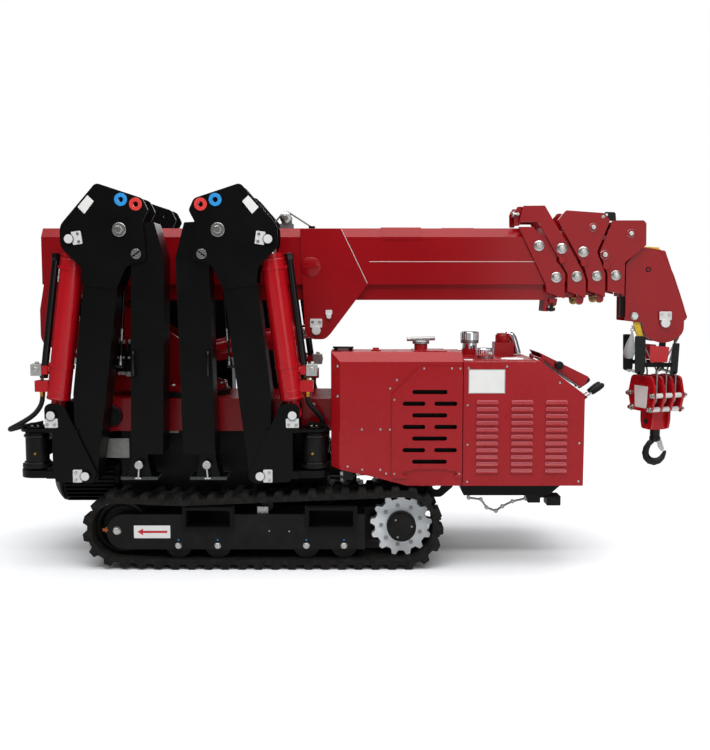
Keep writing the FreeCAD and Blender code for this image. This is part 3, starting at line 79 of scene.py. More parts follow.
def finish(name, base, rough, metallic=0.0, other=None, patch=6.0, share=0.25, grain=0.0, grain_mm=1.0,
           spread=0.06, coat=0.0, mirror=0.5, dust=None, dust_share=0.0, dust_mm=60.0):
    """A surface with a second colour in soft patches, a roughness that varies and a fine bump.

    patch and grain_mm are real sizes in centimetres and millimetres.
    """
    material = bpy.data.materials.new(name)
    material.use_nodes = True
    tree = material.node_tree
    shader = tree.nodes["Principled BSDF"]
    shader.inputs["Metallic"].default_value = metallic
    shader.inputs["Specular IOR Level"].default_value = mirror
    if coat:
        shader.inputs["Coat Weight"].default_value = coat
        shader.inputs["Coat Roughness"].default_value = 0.12
    where = add(tree, "ShaderNodeTexCoord")
    wide = add(tree, "ShaderNodeTexNoise", {"Scale": 100.0 / patch, "Detail": 4.0, "Roughness": 0.55},
               {"Vector": where.outputs["Object"]})
    tint = add(tree, "ShaderNodeMapRange", {"From Min": 0.4, "From Max": 0.7, "To Min": 0.0,
                                            "To Max": share}, {"Value": wide.outputs["Fac"]})
    paint = add(tree, "ShaderNodeMix", {"data_type": "RGBA"})
    paint.inputs[6].default_value = colour(base)
    paint.inputs[7].default_value = colour(other or base)
    tree.links.new(tint.outputs[0], paint.inputs[0])
    surface = paint.outputs[2]
    if dust:
        specks = add(tree, "ShaderNodeTexNoise", {"Scale": 1000.0 / dust_mm, "Detail": 8.0,
                                                  "Roughness": 0.7}, {"Vector": where.outputs["Object"]})
        cover = add(tree, "ShaderNodeMapRange", {"From Min": 0.45, "From Max": 0.75, "To Max": dust_share},
                    {"Value": specks.outputs["Fac"]})
        dusty = add(tree, "ShaderNodeMix", {"data_type": "RGBA"})
        dusty.inputs[7].default_value = colour(dust)
        tree.links.new(cover.outputs[0], dusty.inputs[0])
        tree.links.new(surface, dusty.inputs[6])
        surface = dusty.outputs[2]
    tree.links.new(surface, shader.inputs["Base Color"])
    sheen = add(tree, "ShaderNodeMapRange", {"To Min": rough - spread, "To Max": rough + spread},
                {"Value": wide.outputs["Fac"]})
    tree.links.new(sheen.outputs[0], shader.inputs["Roughness"])
    if grain:
        fine = add(tree, "ShaderNodeTexNoise", {"Scale": 1000.0 / grain_mm, "Detail": 3.0},
                   {"Vector": where.outputs["Object"]})
        bump = add(tree, "ShaderNodeBump", {"Strength": grain, "Distance": 0.0004},
                   {"Height": fine.outputs["Fac"]})
        tree.links.new(bump.outputs[0], shader.inputs["Normal"])
    return material


def linked(name, data):
    """A new object of the scene."""
    obj = bpy.data.objects.new(name, data)
    bpy.context.scene.collection.objects.link(obj)
    return obj


def circle(bm, centre, side, other, radius, sides):
    """A loop of vertices round a centre, in the plane of two unit vectors."""
    turns = [2 * math.pi * i / sides for i in range(sides)]
    return [bm.verts.new(centre + (side * math.cos(t) + other * math.sin(t)) * radius) for t in turns]


def skin(bm, low, high):
    """A band of faces between two loops with the same number of vertices."""
    count = len(low)
    for i in range(count):
        j = (i + 1) % count
        bm.faces.new((low[i], low[j], high[j], high[i]))


def edged(obj, width, angle):
    """A live bevel on the edges sharper than the angle; the width is in millimetres."""
    bevel = obj.modifiers.new("edge", "BEVEL")
    bevel.width = width * MM
    bevel.segments = 2
    bevel.limit_method = "ANGLE"
    bevel.angle_limit = math.radians(angle)
    bevel.use_clamp_overlap = True
    bevel.harden_normals = True


# The photograph's camera: 5.3 degrees down, 4.4 m away, 45 mm lens on a 36 mm frame.
LOOK_DOWN = 5.29        # degrees
camera = bpy.data.cameras.new("camera")
camera.lens = 45.12
camera.sensor_width = 36.0
camera.sensor_fit = "AUTO"
eye = linked("camera", camera)
eye.location = (AXIS_X + 0.784, -4.386, 1.219)
eye.rotation_euler = (math.radians(90 - LOOK_DOWN), 0, 0)
bpy.context.scene.camera = eye
bpy.context.scene.view_settings.view_transform = "Standard"

# Cords: the sleeved hoses of the legs' cylinders, which leave the union below each valve
FRONT_HOSE = ((-577, -315, 770), (-577, -315, 730), (-593, -318, 694), (-620, -320, 664), (-658, -319, 640),
              (-698, -312, 618), (-732, -291, 602), (-744, -258, 594), (-730, -226, 596), (-700, -212, 602),
              (-668, -218, 606))
REAR_HOSE = ((-577, -315, 770), (-577, -315, 738), (-588, -307, 709), (-610, -290, 683), (-628, -277, 660),
             (-639, -267, 640), (-641, -262, 624))
HOSE_R = 10.0
# One ring of the sleeve: distance along the hose and radius of each corner, in metres
RING_SECTION = ((-0.0014, 0.0095), (-0.0012, 0.0112), (0.0012, 0.0112), (0.0014, 0.0095))
RING_SIDES, RING_SPACING = 14, 0.0055
SLEEVE = finish("corrugated nylon sleeve", "0D0D0D", 0.4, grain=0.2, grain_mm=1.5, mirror=0.35)


def hose_line(name, points, radius):
    """A smooth curve whose control points are the hose's route."""
    curve = bpy.data.curves.new(name, "CURVE")
    curve.dimensions = "3D"
    curve.resolution_u = 12
    curve.bevel_depth = radius * MM
    curve.bevel_resolution = 4
    curve.use_fill_caps = True
    spline = curve.splines.new("NURBS")
    spline.points.add(len(points) - 1)
    for item, point in zip(spline.points, points):
        item.co = (*place(*point), 1.0)
    spline.order_u = 3
    spline.use_endpoint_u = True
    return linked(name, curve)


def sleeve_rings(name, route, spacing):
    """The sleeve's rings: small hoops on points read from the route's own spline."""
    bare = hose_line(name + "_line", route, 0.0)
    depsgraph = bpy.context.evaluated_depsgraph_get()
    line = bpy.data.meshes.new_from_object(bare.evaluated_get(depsgraph))
    spots = [v.co.copy() for v in line.vertices]
    bpy.data.objects.remove(bare)
    bpy.data.meshes.remove(line)
    bm = bmesh.new()
    left = spacing
    for a, b in zip(spots, spots[1:]):
        run = (b - a).length
        along = (b - a).normalized()
        side = along.orthogonal().normalized()
        other = along.cross(side)
        while left < run:
            centre = a + along * left
            hoops = [circle(bm, centre + along * u, side, other, r, RING_SIDES) for u, r in RING_SECTION]
            for near, far in zip(hoops, hoops[1:] + hoops[:1]):
                skin(bm, near, far)
            left += spacing
        left -= run
    bmesh.ops.recalc_face_normals(bm, faces=bm.faces)
    mesh = bpy.data.meshes.new(name)
    bm.to_mesh(mesh)
    bm.free()
    mesh.shade_smooth()
    mesh.materials.append(SLEEVE)
    return linked(name, mesh)


LEGS = (
    # name, mirrored to the rear, mirrored to the right
    ("front_left", False, False),
    ("front_right", False, True),
    ("rear_left", True, False),
    ("rear_right", True, True),
)
for leg, to_rear, to_right in LEGS:
    a, b = (-1 if to_rear else 1), (-1 if to_right else 1)
    route = [(x * a, y * b, z) for x, y, z in (REAR_HOSE if to_rear else FRONT_HOSE)]
    hose = hose_line("sleeved_hose_" + leg, route, HOSE_R)
    hose.data.materials.append(SLEEVE)
    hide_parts("hose_" + leg)
    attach(hose, "leg_" + leg)
    rings = sleeve_rings("sleeve_rings_" + leg, route, RING_SPACING)
    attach(rings, "leg_" + leg)


# Two-pack enamel sprayed on steel plate: deep, wet colour with a faint orange peel, 3 mm wide.
BOOM_RED = finish("crimson two-pack enamel", "8E0710", 0.22, other="A20E18", patch=30.0, share=0.35,
                  grain=0.12, grain_mm=6.0, coat=0.12, mirror=0.22)
# The same paint on thin pressed sheet: a little browner, softer sheen.
HOOD_RED = finish("brick-red enamel on pressed sheet", "9C1018", 0.28, other="A91C24", patch=24.0,
                  share=0.4, grain=0.10, grain_mm=8.0, coat=0.1, mirror=0.25)
# Cylinder tube paint: brighter, glossy.
TUBE_RED = finish("bright red cylinder enamel", "B20A16", 0.22, other="BC1420", patch=12.0, share=0.3,
                  grain=0.08, grain_mm=5.0, coat=0.25, mirror=0.3)
# Powder coat: satin black with a grain that breaks up its highlights.
BLACK = finish("satin black powder coat", "070707", 0.34, other="0D0D0C", patch=16.0, share=0.5, grain=0.22,
               grain_mm=2.5, spread=0.08, mirror=0.13)
DARK = finish("black chassis paint, a little dusty", "0B0B0A", 0.5, other="141312", patch=14.0, share=0.5,
              grain=0.2, grain_mm=3.0, mirror=0.2, dust="57514A", dust_share=0.08)
# Natural rubber filled with carbon black, dusty from the yard.
RUBBER = finish("moulded track rubber", "121110", 0.8, other="1D1B1A", patch=5.0, share=0.6, grain=0.6,
                grain_mm=3.0, mirror=0.2, dust="5A524A", dust_share=0.16, dust_mm=25.0)
GREY = finish("light grey machine enamel", "F0F5F8", 0.4, other="DDE3E6", patch=5.0, share=0.5, grain=0.15,
              grain_mm=3.0, dust="A8A49C", dust_share=0.2)
# Zinc plate, yellowish where thick: the bolts, pins and washers.
ZINC = finish("zinc-plated steel", "C2C2BE", 0.26, metallic=1.0, other="A3A19A", patch=2.0, share=0.6,
              grain=0.2, grain_mm=1.2)
KEEPER = finish("white-painted keeper plate", "DCDCDA", 0.42, other="CFCFCC", patch=3.0, share=0.5,
                grain=0.12, grain_mm=2.0)
CHROME = finish("hard chrome rod", "E6E7EA", 0.09, metallic=1.0, patch=6.0, spread=0.03)
STEEL = finish("bare machined steel", "A9A8A6", 0.34, metallic=1.0, other="8E8C89", patch=2.5, share=0.6,
               grain=0.15, grain_mm=1.0)
CAST = finish("black forged steel", "0C0C0C", 0.4, other="161615", patch=3.0, share=0.5, grain=0.4,
              grain_mm=2.2, mirror=0.3)
BRASS = finish("brass fitting", "B98A3C", 0.3, metallic=1.0, patch=1.5, grain=0.1)
WHITE = finish("white vinyl label", "EDEDEA", 0.38, other="E2E2DE", patch=6.0, share=0.5)
ARROW_RED = finish("red vinyl print", "C4202A", 0.4)
BLUE_RING = finish("blue moulded ring", "2A97E0", 0.35, other="2088CE", patch=1.0, share=0.4)
RED_RING = finish("red moulded ring", "E23C38", 0.35, other="CC3230", patch=1.0, share=0.4)
YELLOW = finish("yellow enamel", "E9C21C", 0.4, other="D8B016", patch=2.0, share=0.4)
GLOSS_BLACK = finish("gloss black enamel", "090909", 0.2, other="101010", patch=8.0, share=0.4, grain=0.08,
                     grain_mm=4.0, coat=0.2, mirror=0.25)
GALVANISED = finish("galvanised sheet", "B9B8B2", 0.45, metallic=0.6, other="9C9A93", patch=2.0, share=0.7,
                    grain=0.2)
SILVER = finish("clear-zinc valve body", "C9C9C5", 0.32, metallic=0.75, other="B0AFAA", patch=1.5,
                share=0.5, grain=0.15)
COPPER = finish("copper-plated thread", "A9623A", 0.35, metallic=0.9, other="8C5030", patch=1.0, share=0.5,
                grain=0.2)
SPROCKET_BOLT = finish("dull zinc bolt", "9FA3A4", 0.42, metallic=0.6, other="8A8E90", patch=1.5, share=0.5)
RUBBER_TRIM = finish("moulded black rubber trim", "0D0D0D", 0.55, other="141413", patch=3.0, share=0.5,
                     grain=0.3, grain_mm=1.5, mirror=0.25)
SOOT = finish("matt black radiator core", "0A0A0A", 0.75, other="121212", patch=4.0, share=0.5)
GREEN_BLACK = finish("black nylon", "0B0D0C", 0.5, other="121413", patch=2.0, share=0.5, grain=0.2,
                     mirror=0.3)
YELLOW_ZINC = finish("yellow-passivated roller", "A88E4C", 0.4, metallic=0.7, other="8E774A", patch=1.5,
                     share=0.5)
# Galvanised wire rope: dull zinc in two tones, with a grain as coarse as its strands.
WIRE_ROPE = finish("galvanised wire rope", "8F8C86", 0.45, metallic=0.8, other="6A665F", patch=0.6,
                   share=0.8, grain=0.8, grain_mm=1.5)
WORN_BLACK = finish("worn black edge", "303335", 0.35, other="4A4E50", patch=1.5, share=0.6, mirror=0.4)
# Painted highlight: a lighter red on the louvres' humps, in place of the light that they catch.
LOUVRE_HIGHLIGHT_RED = finish("red enamel, polished on the louvres' humps", "BE4A54", 0.25, other="C65A62", patch=4.0,
                 coat=0.3)
HOOK_GREY = finish("grey enamelled weight", "9A9C9C", 0.45, other="858786", patch=2.0, share=0.5, grain=0.2)

FINISHES = {"track_left": RUBBER, "track_right": RUBBER, "track_frame_left": DARK,
            "track_frame_right": DARK, "drive_sprockets": GREY, "final_drives": DARK, "idler_wheels": DARK,
            "track_rollers": DARK, "chassis_frame": DARK, "fork_pockets": DARK, "engine_rails": DARK,
            "drive_brackets": DARK, "base_deck": BOOM_RED, "tie_brackets": BLACK, "slew_ring": DARK,
            "electric_motor": BLACK, "hood_front": HOOD_RED, "hood_rear": HOOD_RED,
            "slotted_panels": HOOD_RED, "engine_tray": BLACK, "engine_block": DARK, "hood_fittings": STEEL,
            "exhaust_stack": HOOD_RED, "control_lid": HOOD_RED, "control_levers": BLACK,
            "turret_frame": BOOM_RED, "winch_drum": DARK, "luff_barrel": TUBE_RED, "luff_rod": CHROME,
            "boom_base": BOOM_RED, "boom_second": BOOM_RED, "boom_third": BOOM_RED,
            "boom_fourth": BOOM_RED, "boom_head": BOOM_RED, "head_sheaves": STEEL, "rope_guide": STEEL,
            "hook_block": TUBE_RED, "hoist_ropes": STEEL, "load_hook": CAST, }
LEG_FINISHES = {"pedestal": BLACK, "arm": BLACK, "inner_leg": BLACK, "cylinder": TUBE_RED, "hose": SLEEVE}


def dress(obj, material, body):
    """Gives a new piece its material, where it has none, and the body that it rides on."""
    if not obj.data.materials:
        obj.data.materials.append(material)
    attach(obj, body)
    return obj


def softened(obj, width=1.2, angle=30.0):
    """Welds a node's loose triangles, rounds its sharp edges and shades the rest smooth, as modifiers."""
    tree = bpy.data.node_groups.new("weld", "GeometryNodeTree")
    tree.interface.new_socket("Geometry", in_out="INPUT", socket_type="NodeSocketGeometry")
    tree.interface.new_socket("Geometry", in_out="OUTPUT", socket_type="NodeSocketGeometry")
    start = add(tree, "NodeGroupInput")
    plain = add(tree, "GeometryNodeRemoveAttribute", {"Name": "custom_normal"},
                {"Geometry": start.outputs[0]})
    welded = add(tree, "GeometryNodeMergeByDistance", {"Distance": 0.00002}, {"Geometry": plain.outputs[0]})
    smooth = add(tree, "GeometryNodeSetShadeSmooth", {}, {"Geometry": welded.outputs[0]})
    add(tree, "NodeGroupOutput", {}, {0: smooth.outputs[0]})
    first = obj.modifiers.new("weld", "NODES")
    first.node_group = tree
    edged(obj, width, angle)


for name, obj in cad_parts.items():
    leg_part = name.rsplit("_", 2)[0]
    material = FINISHES.get(name) or LEG_FINISHES[leg_part]
    obj.data.materials.clear()
    obj.data.materials.append(material)


# Shapes, gathered in a bmesh in millimetres, with X from the slew axis
def polygon_plane(u, v, w, plane):
    """A point from two outline values and a depth: planes are named by the axis across them."""
    return {"y": (u, w, v), "x": (w, u, v), "z": (u, v, w)}[plane]


def prism(bm, points, low, high, plane="y"):
    """An outline with a thickness."""
    near = [bm.verts.new(polygon_plane(u, v, low, plane)) for u, v in points]
    far = [bm.verts.new(polygon_plane(u, v, high, plane)) for u, v in points]
    bm.faces.new(near)
    bm.faces.new(far[::-1])
    count = len(points)
    for i in range(count):
        j = (i + 1) % count
        bm.faces.new((near[i], far[i], far[j], near[j]))


def rounded_outline(points, radius, steps=4):
    """The outline with its corners cut to arcs."""
    out = []
    count = len(points)
    for i, here in enumerate(points):
        before, after = Vector(points[i - 1]), Vector(points[(i + 1) % count])
        here = Vector(here)
        a, b = (before - here).normalized(), (after - here).normalized()
        reach = min(radius, 0.45 * (before - here).length, 0.45 * (after - here).length)
        start, end = here + a * reach, here + b * reach
        for step in range(steps + 1):
            t = step / steps
            out.append(tuple(start * (1 - t) ** 2 + here * 2 * t * (1 - t) + end * t ** 2))
    return out


def box(bm, x, y, z):
    """A block between two values on each axis."""
    prism(bm, [(x[0], z[0]), (x[1], z[0]), (x[1], z[1]), (x[0], z[1])], y[0], y[1])


def lathe(bm, origin, axis, profile, sides=28):
    """A closed turned shape: profile is (radius, distance along the axis) pairs; radius 0 closes an end."""
    axis = Vector(axis).normalized()
    side = axis.orthogonal().normalized()
    other = axis.cross(side)
    rings = []
    for radius, height in profile:
        centre = Vector(origin) + axis * height
        rings.append(circle(bm, centre, side, other, radius, sides) if radius else [bm.verts.new(centre)])
    for low, high in zip(rings, rings[1:]):
        if len(low) == len(high) > 1:
            skin(bm, low, high)
            continue
        for i in range(sides):
            j = (i + 1) % sides
            if len(high) > 1:
                bm.faces.new((low[0], high[j], high[i]))
            elif len(low) > 1:
                bm.faces.new((low[i], low[j], high[0]))


def bar(bm, a, b, radius, sides=20, edge=0.0):
    """A round bar with bevelled ends."""
    a, b = Vector(a), Vector(b)
    length = (b - a).length
    edge = edge or min(1.2, radius * 0.2)
    lathe(bm, a, b - a, [(0, 0), (radius - edge, 0), (radius, edge), (radius, length - edge),
                         (radius - edge, length), (0, length)], sides)


def turned_loop(bm, origin, axis, profile, sides=36):
    """A closed ring: profile is a loop of (radius, distance along the axis) pairs."""
    axis = Vector(axis).normalized()
    side = axis.orthogonal().normalized()
    other = axis.cross(side)
    rings = [circle(bm, Vector(origin) + axis * height, side, other, radius, sides) for radius,
             height in profile]
    for low, high in zip(rings, rings[1:] + rings[:1]):
        skin(bm, low, high)


def ring(bm, origin, axis, inner, outer, low, high):
    """A flat ring with a broken outer edge."""
    edge = min(0.8, 0.2 * (outer - inner))
    turned_loop(bm, origin, axis, [(inner, low), (outer - edge, low), (outer, low + edge),
                                   (outer, high - edge), (outer - edge, high), (inner, high)])


def link(bm, origin, axis, radius, wire):
    """A chain's round link."""
    turned_loop(bm, origin, axis, [(radius + wire * math.cos(t), wire * math.sin(t))
                                   for t in (2 * math.pi * i / 8 for i in range(8))], 20)


def frame_loop(bm, outline, inner, low, high):
    """A plate with a window: both outlines have the same number of points."""
    loops = [[bm.verts.new((u, w, v)) for u, v in points] for points in (outline, inner)
             for w in (low, high)]
    outer_low, outer_high, inner_low, inner_high = loops
    for a, b in ((outer_low, outer_high), (outer_high, inner_high), (inner_high, inner_low),
                 (inner_low, outer_low)):
        skin(bm, a, b)


def swept(bm, points, radius, sides=12, smooth=3):
    """A bent bar through the points, rounded at each, with closed ends."""
    spots = [Vector(p) for p in points]
    for _ in range(smooth):
        cut = [spots[0]]
        for a, b in zip(spots, spots[1:]):
            cut += [a.lerp(b, 0.25), a.lerp(b, 0.75)]
        spots = cut + [spots[-1]]
    side = (spots[1] - spots[0]).orthogonal().normalized()
    rings = []
    for i, spot in enumerate(spots):
        along = (spots[min(i + 1, len(spots) - 1)] - spots[max(i - 1, 0)]).normalized()
        side = (side - along * side.dot(along)).normalized()
        other = along.cross(side)
        rings.append(circle(bm, spot, side, other, radius, sides))
    for low, high in zip(rings, rings[1:]):
        skin(bm, low, high)
    bm.faces.new(rings[0][::-1])
    bm.faces.new(rings[-1])


def mirrored(bm):
    """Adds the right side's mirror image of all that bm holds."""
    copy = bm.copy()
    bmesh.ops.scale(copy, vec=(1, -1, 1), verts=copy.verts)
    bmesh.ops.reverse_faces(copy, faces=copy.faces)
    mesh = bpy.data.meshes.new("mirror")
    copy.to_mesh(mesh)
    bm.from_mesh(mesh)
    bpy.data.meshes.remove(mesh)
    copy.free()


SHARP = 35.0        # degrees, from which an edge stays sharp or takes a bevel


def piece(name, bm, material, body, bevel=0.0):
    """A finished object of the bmesh, in metres, that rides on a body."""
    bmesh.ops.recalc_face_normals(bm, faces=bm.faces)
    mesh = bpy.data.meshes.new(name)
    bm.to_mesh(mesh)
    bm.free()
    mesh.transform(Matrix.Translation((AXIS_X, 0, 0)) @ Matrix.Scale(MM, 4))
    mesh.shade_smooth()
    mesh.set_sharp_from_angle(angle=math.radians(SHARP))
    obj = linked(name, mesh)
    if bevel:
        edged(obj, bevel, SHARP)
    return dress(obj, material, body)


def one(name, build, material, body="chassis", bevel=0.0):
    """One piece of what build puts in a bmesh."""
    bm = bmesh.new()
    build(bm)
    return piece(name, bm, material, body, bevel)


def on_legs(name, build, material, bevel=0.0):
    """The same piece on each leg: build fills a bmesh as the front left leg has it."""
    for leg, to_rear, to_right in LEGS:
        bm = bmesh.new()
        build(bm)
        scale = (-1 if to_rear else 1, -1 if to_right else 1, 1)
        bmesh.ops.scale(bm, vec=scale, verts=bm.verts)
        piece(f"{name}_{leg}", bm, material, "leg_" + leg, bevel)


def on_sides(name, build, material, body="chassis", bevel=0.0):
    """One piece that holds the left side's shape and its mirror image."""
    bm = bmesh.new()
    build(bm)
    mirrored(bm)
    return piece(name, bm, material, body, bevel)


# Repeats, by Geometry Nodes
def group(name, inputs):
    """A node tree with a geometry in and out and the named inputs (name, socket type, value)."""
    tree = bpy.data.node_groups.new(name, "GeometryNodeTree")
    tree.interface.new_socket("Geometry", in_out="INPUT", socket_type="NodeSocketGeometry")
    for label, kind, value in inputs:
        socket = tree.interface.new_socket(label, in_out="INPUT", socket_type=kind)
        if value is not None:
            socket.default_value = value
    tree.interface.new_socket("Geometry", in_out="OUTPUT", socket_type="NodeSocketGeometry")
    return tree, add(tree, "NodeGroupInput")


def realised(name, host, tree, values, material, body):
    """Runs the tree on the host's mesh and keeps the result as a plain mesh that rides on a body."""
    modifier = host.modifiers.new("repeat", "NODES")
    modifier.node_group = tree
    for item in tree.interface.items_tree:
        if item.in_out == "INPUT" and item.name in values:
            modifier[item.identifier] = values[item.name]
    bpy.context.view_layer.update()
    depsgraph = bpy.context.evaluated_depsgraph_get()
    mesh = bpy.data.meshes.new_from_object(host.evaluated_get(depsgraph))
    mesh.name = name
    bpy.data.objects.remove(host)
    return dress(linked(name, mesh), material, body)


def scatter_tree(material):
    """A turned copy of one part on every point: the point's axis attribute gives where it faces."""
    tree, start = group("fasteners", [("Part", "NodeSocketObject", None), ("Size", "NodeSocketFloat", 1.0),
                                      ("Seed", "NodeSocketInt", 3)])
    info = add(tree, "GeometryNodeObjectInfo", {}, {"Object": start.outputs["Part"]})
    facing = add(tree, "GeometryNodeInputNamedAttribute", {"data_type": "FLOAT_VECTOR", "Name": "axis"})
    turn = add(tree, "FunctionNodeAlignRotationToVector", {"axis": "Z"},
               {"Vector": facing.outputs["Attribute"]})
    spin = add(tree, "FunctionNodeRandomValue", {"data_type": "FLOAT"}, {"Seed": start.outputs["Seed"]})
    spin.inputs[3].default_value = 2 * math.pi
    about = add(tree, "FunctionNodeAxisAngleToRotation", {"Axis": (0, 0, 1)}, {"Angle": spin.outputs[1]})
    aimed = add(tree, "FunctionNodeRotateRotation", {"rotation_space": "LOCAL"},
               {"Rotation": turn.outputs[0], "Rotate By": about.outputs[0]})
    placed = add(tree, "GeometryNodeInstanceOnPoints", {},
                 {"Points": start.outputs["Geometry"], "Instance": info.outputs["Geometry"],
                  "Rotation": aimed.outputs[0], "Scale": start.outputs["Size"]})
    real = add(tree, "GeometryNodeRealizeInstances", {}, {"Geometry": placed.outputs[0]})
    coat = add(tree, "GeometryNodeSetMaterial", {"Material": material}, {"Geometry": real.outputs[0]})
    add(tree, "NodeGroupOutput", {}, {0: coat.outputs[0]})
    return tree


def pattern_part(name, build):
    """A part at the origin that a tree copies; it is removed when its copies are made."""
    bm = bmesh.new()
    build(bm)
    bmesh.ops.recalc_face_normals(bm, faces=bm.faces)
    bmesh.ops.scale(bm, vec=(MM, MM, MM), verts=bm.verts)
    mesh = bpy.data.meshes.new(name)
    bm.to_mesh(mesh)
    bm.free()
    mesh.shade_smooth()
    mesh.set_sharp_from_angle(angle=math.radians(SHARP))
    return linked(name, mesh)


def hex_head(bm):
    """An M10 head on its washer, 17 mm across flats, standing on the plane z = 0."""
    lathe(bm, (0, 0, 0), (0, 0, 1), [(0, 0), (10.5, 0), (10.5, 1.8), (0, 1.8)], 20)
    lathe(bm, (0, 0, 1.8), (0, 0, 1), [(0, 0), (9.2, 0), (9.8, 0.6), (9.8, 5.4), (8.6, 6.2), (0, 6.2)], 6)


def button_head(bm):
    """A domed screw head, 10 mm across."""
    lathe(bm, (0, 0, 0), (0, 0, 1), [(0, 0), (5, 0), (4.8, 1.2), (3.6, 2.6), (1.8, 3.0), (1.6, 1.6),
                                     (0, 1.6)], 14)


def big_washer(bm):
    """The wear pads' round cover, 46 mm across, with its M16 head."""
    lathe(bm, (0, 0, 0), (0, 0, 1), [(0, 0), (22.5, 0), (23, 1), (23, 4.5), (21.5, 5.5), (0, 5.5)], 36)
    lathe(bm, (0, 0, 5.5), (0, 0, 1), [(0, 0), (12.8, 0), (13.8, 0.8), (13.8, 7.5), (12.4, 8.8), (0, 8.8)],
          6)
    lathe(bm, (0, 0, 14.3), (0, 0, 1), [(0, 0), (7.5, 0), (7.5, 2.2), (6.5, 3.0), (0, 3.0)], 16)


def fasteners(name, part, spots, material, body, size=1.0, seed=3):
    """Copies of one fastener at (x, y, z, axis) places."""
    mesh = bpy.data.meshes.new(name)
    mesh.from_pydata([tuple(place(*spot[:3])) for spot in spots], [], [])
    data = mesh.attributes.new("axis", "FLOAT_VECTOR", "POINT")
    for item, spot in zip(data.data, spots):
        item.vector = spot[3]
    host = linked(name + "_points", mesh)
    return realised(name, host, scatter_tree(material), {"Part": part, "Size": size, "Seed": seed},
                    material, body)


def leg_fasteners(name, part, spots, material, size=1.0):
    """Fasteners on each leg, at places given on the front left one."""
    for leg, to_rear, to_right in LEGS:
        a, b = (-1 if to_rear else 1), (-1 if to_right else 1)
        fasteners(f"{name}_{leg}", part, [(x * a, y * b, z, (n[0] * a, n[1] * b, n[2])) for x, y, z,
                                          n in spots], material, "leg_" + leg, size)


HEX = pattern_part("hex_head", hex_head)
BUTTON = pattern_part("button_head", button_head)
WASHER = pattern_part("pad_cover", big_washer)
LEFT, RIGHT, UP, BACK, FRONT = (0, -1, 0), (0, 1, 0), (0, 0, 1), (1, 0, 0), (-1, 0, 0)


def both(spots):
    """The spots and their mirror images on the right side."""
    return spots + [(x, -y, z, (a[0], -a[1], a[2])) for x, y, z, a in spots]


# Outrigger legs, as the front left one stands
LEG_OUT, LEG_IN = -395.0, -235.0     # outer and inner faces of the side plates
PLATE = 12.0
BEAM_OUT = LEG_OUT + PLATE + 1.5     # outer face of the arm and of the inner leg
HUB = (-606.0, -315.0)
ARM_PIN, CYL_PIN, HEAD_PIN = (-376.0, 413.0), (-516.0, 676.0), (-418.0, 1424.0)
KNEE_PIN, LOCK_PIN, FOOT_PIN = (-207.0, 1463.0), (-138.0, 1362.0), (-146.0, 460.0)
BLUE_HOLE, RED_HOLE = (-198.0, 1588.0), (-136.0, 1569.0)
FOOT_Z = 392.0
KEEPERS = (
    # pin, direction of the plate from it in degrees
    (ARM_PIN, 180.0), (CYL_PIN, -90.0), (HEAD_PIN, 8.0),
)


def turned(pin, turn, u, v):
    """A place (x, z) beside a pin, with u and v turned about it by degrees."""
    c, s = math.cos(math.radians(turn)), math.sin(math.radians(turn))
    return pin[0] + u * c - v * s, pin[1] + u * s + v * c


def t_keeper(bm, pin, turn, y, size=1.0):
    """A keeper over a pin's end: a plate beside a round head. y is the face that it lies on."""
    corners = ((13, -27.5), (53, -27.5), (53, 27.5), (13, 27.5))
    outline = rounded_outline([turned(pin, turn, u * size, v * size) for u, v in corners], 5)
    prism(bm, outline, y - 8.0, y)
    lathe(bm, (pin[0], y, pin[1]), LEFT, [(0, 0), (20.5 * size, 0), (20.5 * size, 12.4),
                                          (18.5 * size, 14.4), (0, 14.4)], 32)


def keepers(bm):
    """The keepers of one leg's three pins."""
    for pin, turn in KEEPERS:
        t_keeper(bm, pin, turn, LEG_OUT)


on_legs("pin_keepers", keepers, KEEPER, 1.0)
keeper_screws = []
for pin, turn in KEEPERS:
    for v in (-16, 16):
        x, z = turned(pin, turn, 40, v)
        keeper_screws.append((x, LEG_OUT - 8.0, z, LEFT))
KEEPER_SCREW = 0.62     # an M6 head, as a share of the M10 one
leg_fasteners("keeper_screws", HEX, keeper_screws, ZINC, KEEPER_SCREW)


def knee_washer(bm):
    """The knee pin's washers, on both side plates."""
    lathe(bm, (KNEE_PIN[0], LEG_OUT, KNEE_PIN[1]), LEFT, [(0, 0), (30, 0), (30, 7), (28, 9), (0, 9)], 40)
    lathe(bm, (KNEE_PIN[0], LEG_IN, KNEE_PIN[1]), RIGHT, [(0, 0), (26, 0), (26, 6), (24, 8), (0, 8)], 40)


def lock_pin(bm):
    """A slotted pin's head: a disc and two halves that leave the slot."""
    lathe(bm, (LOCK_PIN[0], LEG_OUT, LOCK_PIN[1]), LEFT, [(0, 0), (21.5, 0), (21.5, 6.5), (0, 6.5)], 32)
    for start in (35.0, 215.0):
        arc = [(LOCK_PIN[0] + 20 * math.cos(math.radians(start + 10 + 16 * i)),
                LOCK_PIN[1] + 20 * math.sin(math.radians(start + 10 + 16 * i))) for i in range(11)]
        prism(bm, arc, LEG_OUT - 9.5, LEG_OUT - 6)
    lathe(bm, (LOCK_PIN[0], LEG_IN, LOCK_PIN[1]), RIGHT, [(0, 0), (18, 0), (18, 5), (0, 5)], 32)


on_legs("knee_washers", knee_washer, ZINC, 0.6)
on_legs("lock_pins", lock_pin, ZINC, 0.5)
leg_fasteners("knee_bolts", HEX, [(KNEE_PIN[0], LEG_OUT - 9, KNEE_PIN[1], LEFT)], ZINC, 1.75)


def hole_rings(hole):
    """The moulded liner in a lock hole of the outer plate, flanged outside."""
    def build(bm):
        ring(bm, (hole[0], 0, hole[1]), RIGHT, 11.5, 13.4, LEG_OUT - 5, LEG_OUT + PLATE + 3)
        ring(bm, (hole[0], 0, hole[1]), RIGHT, 13.2, 27, LEG_OUT - 5, LEG_OUT)
    return build


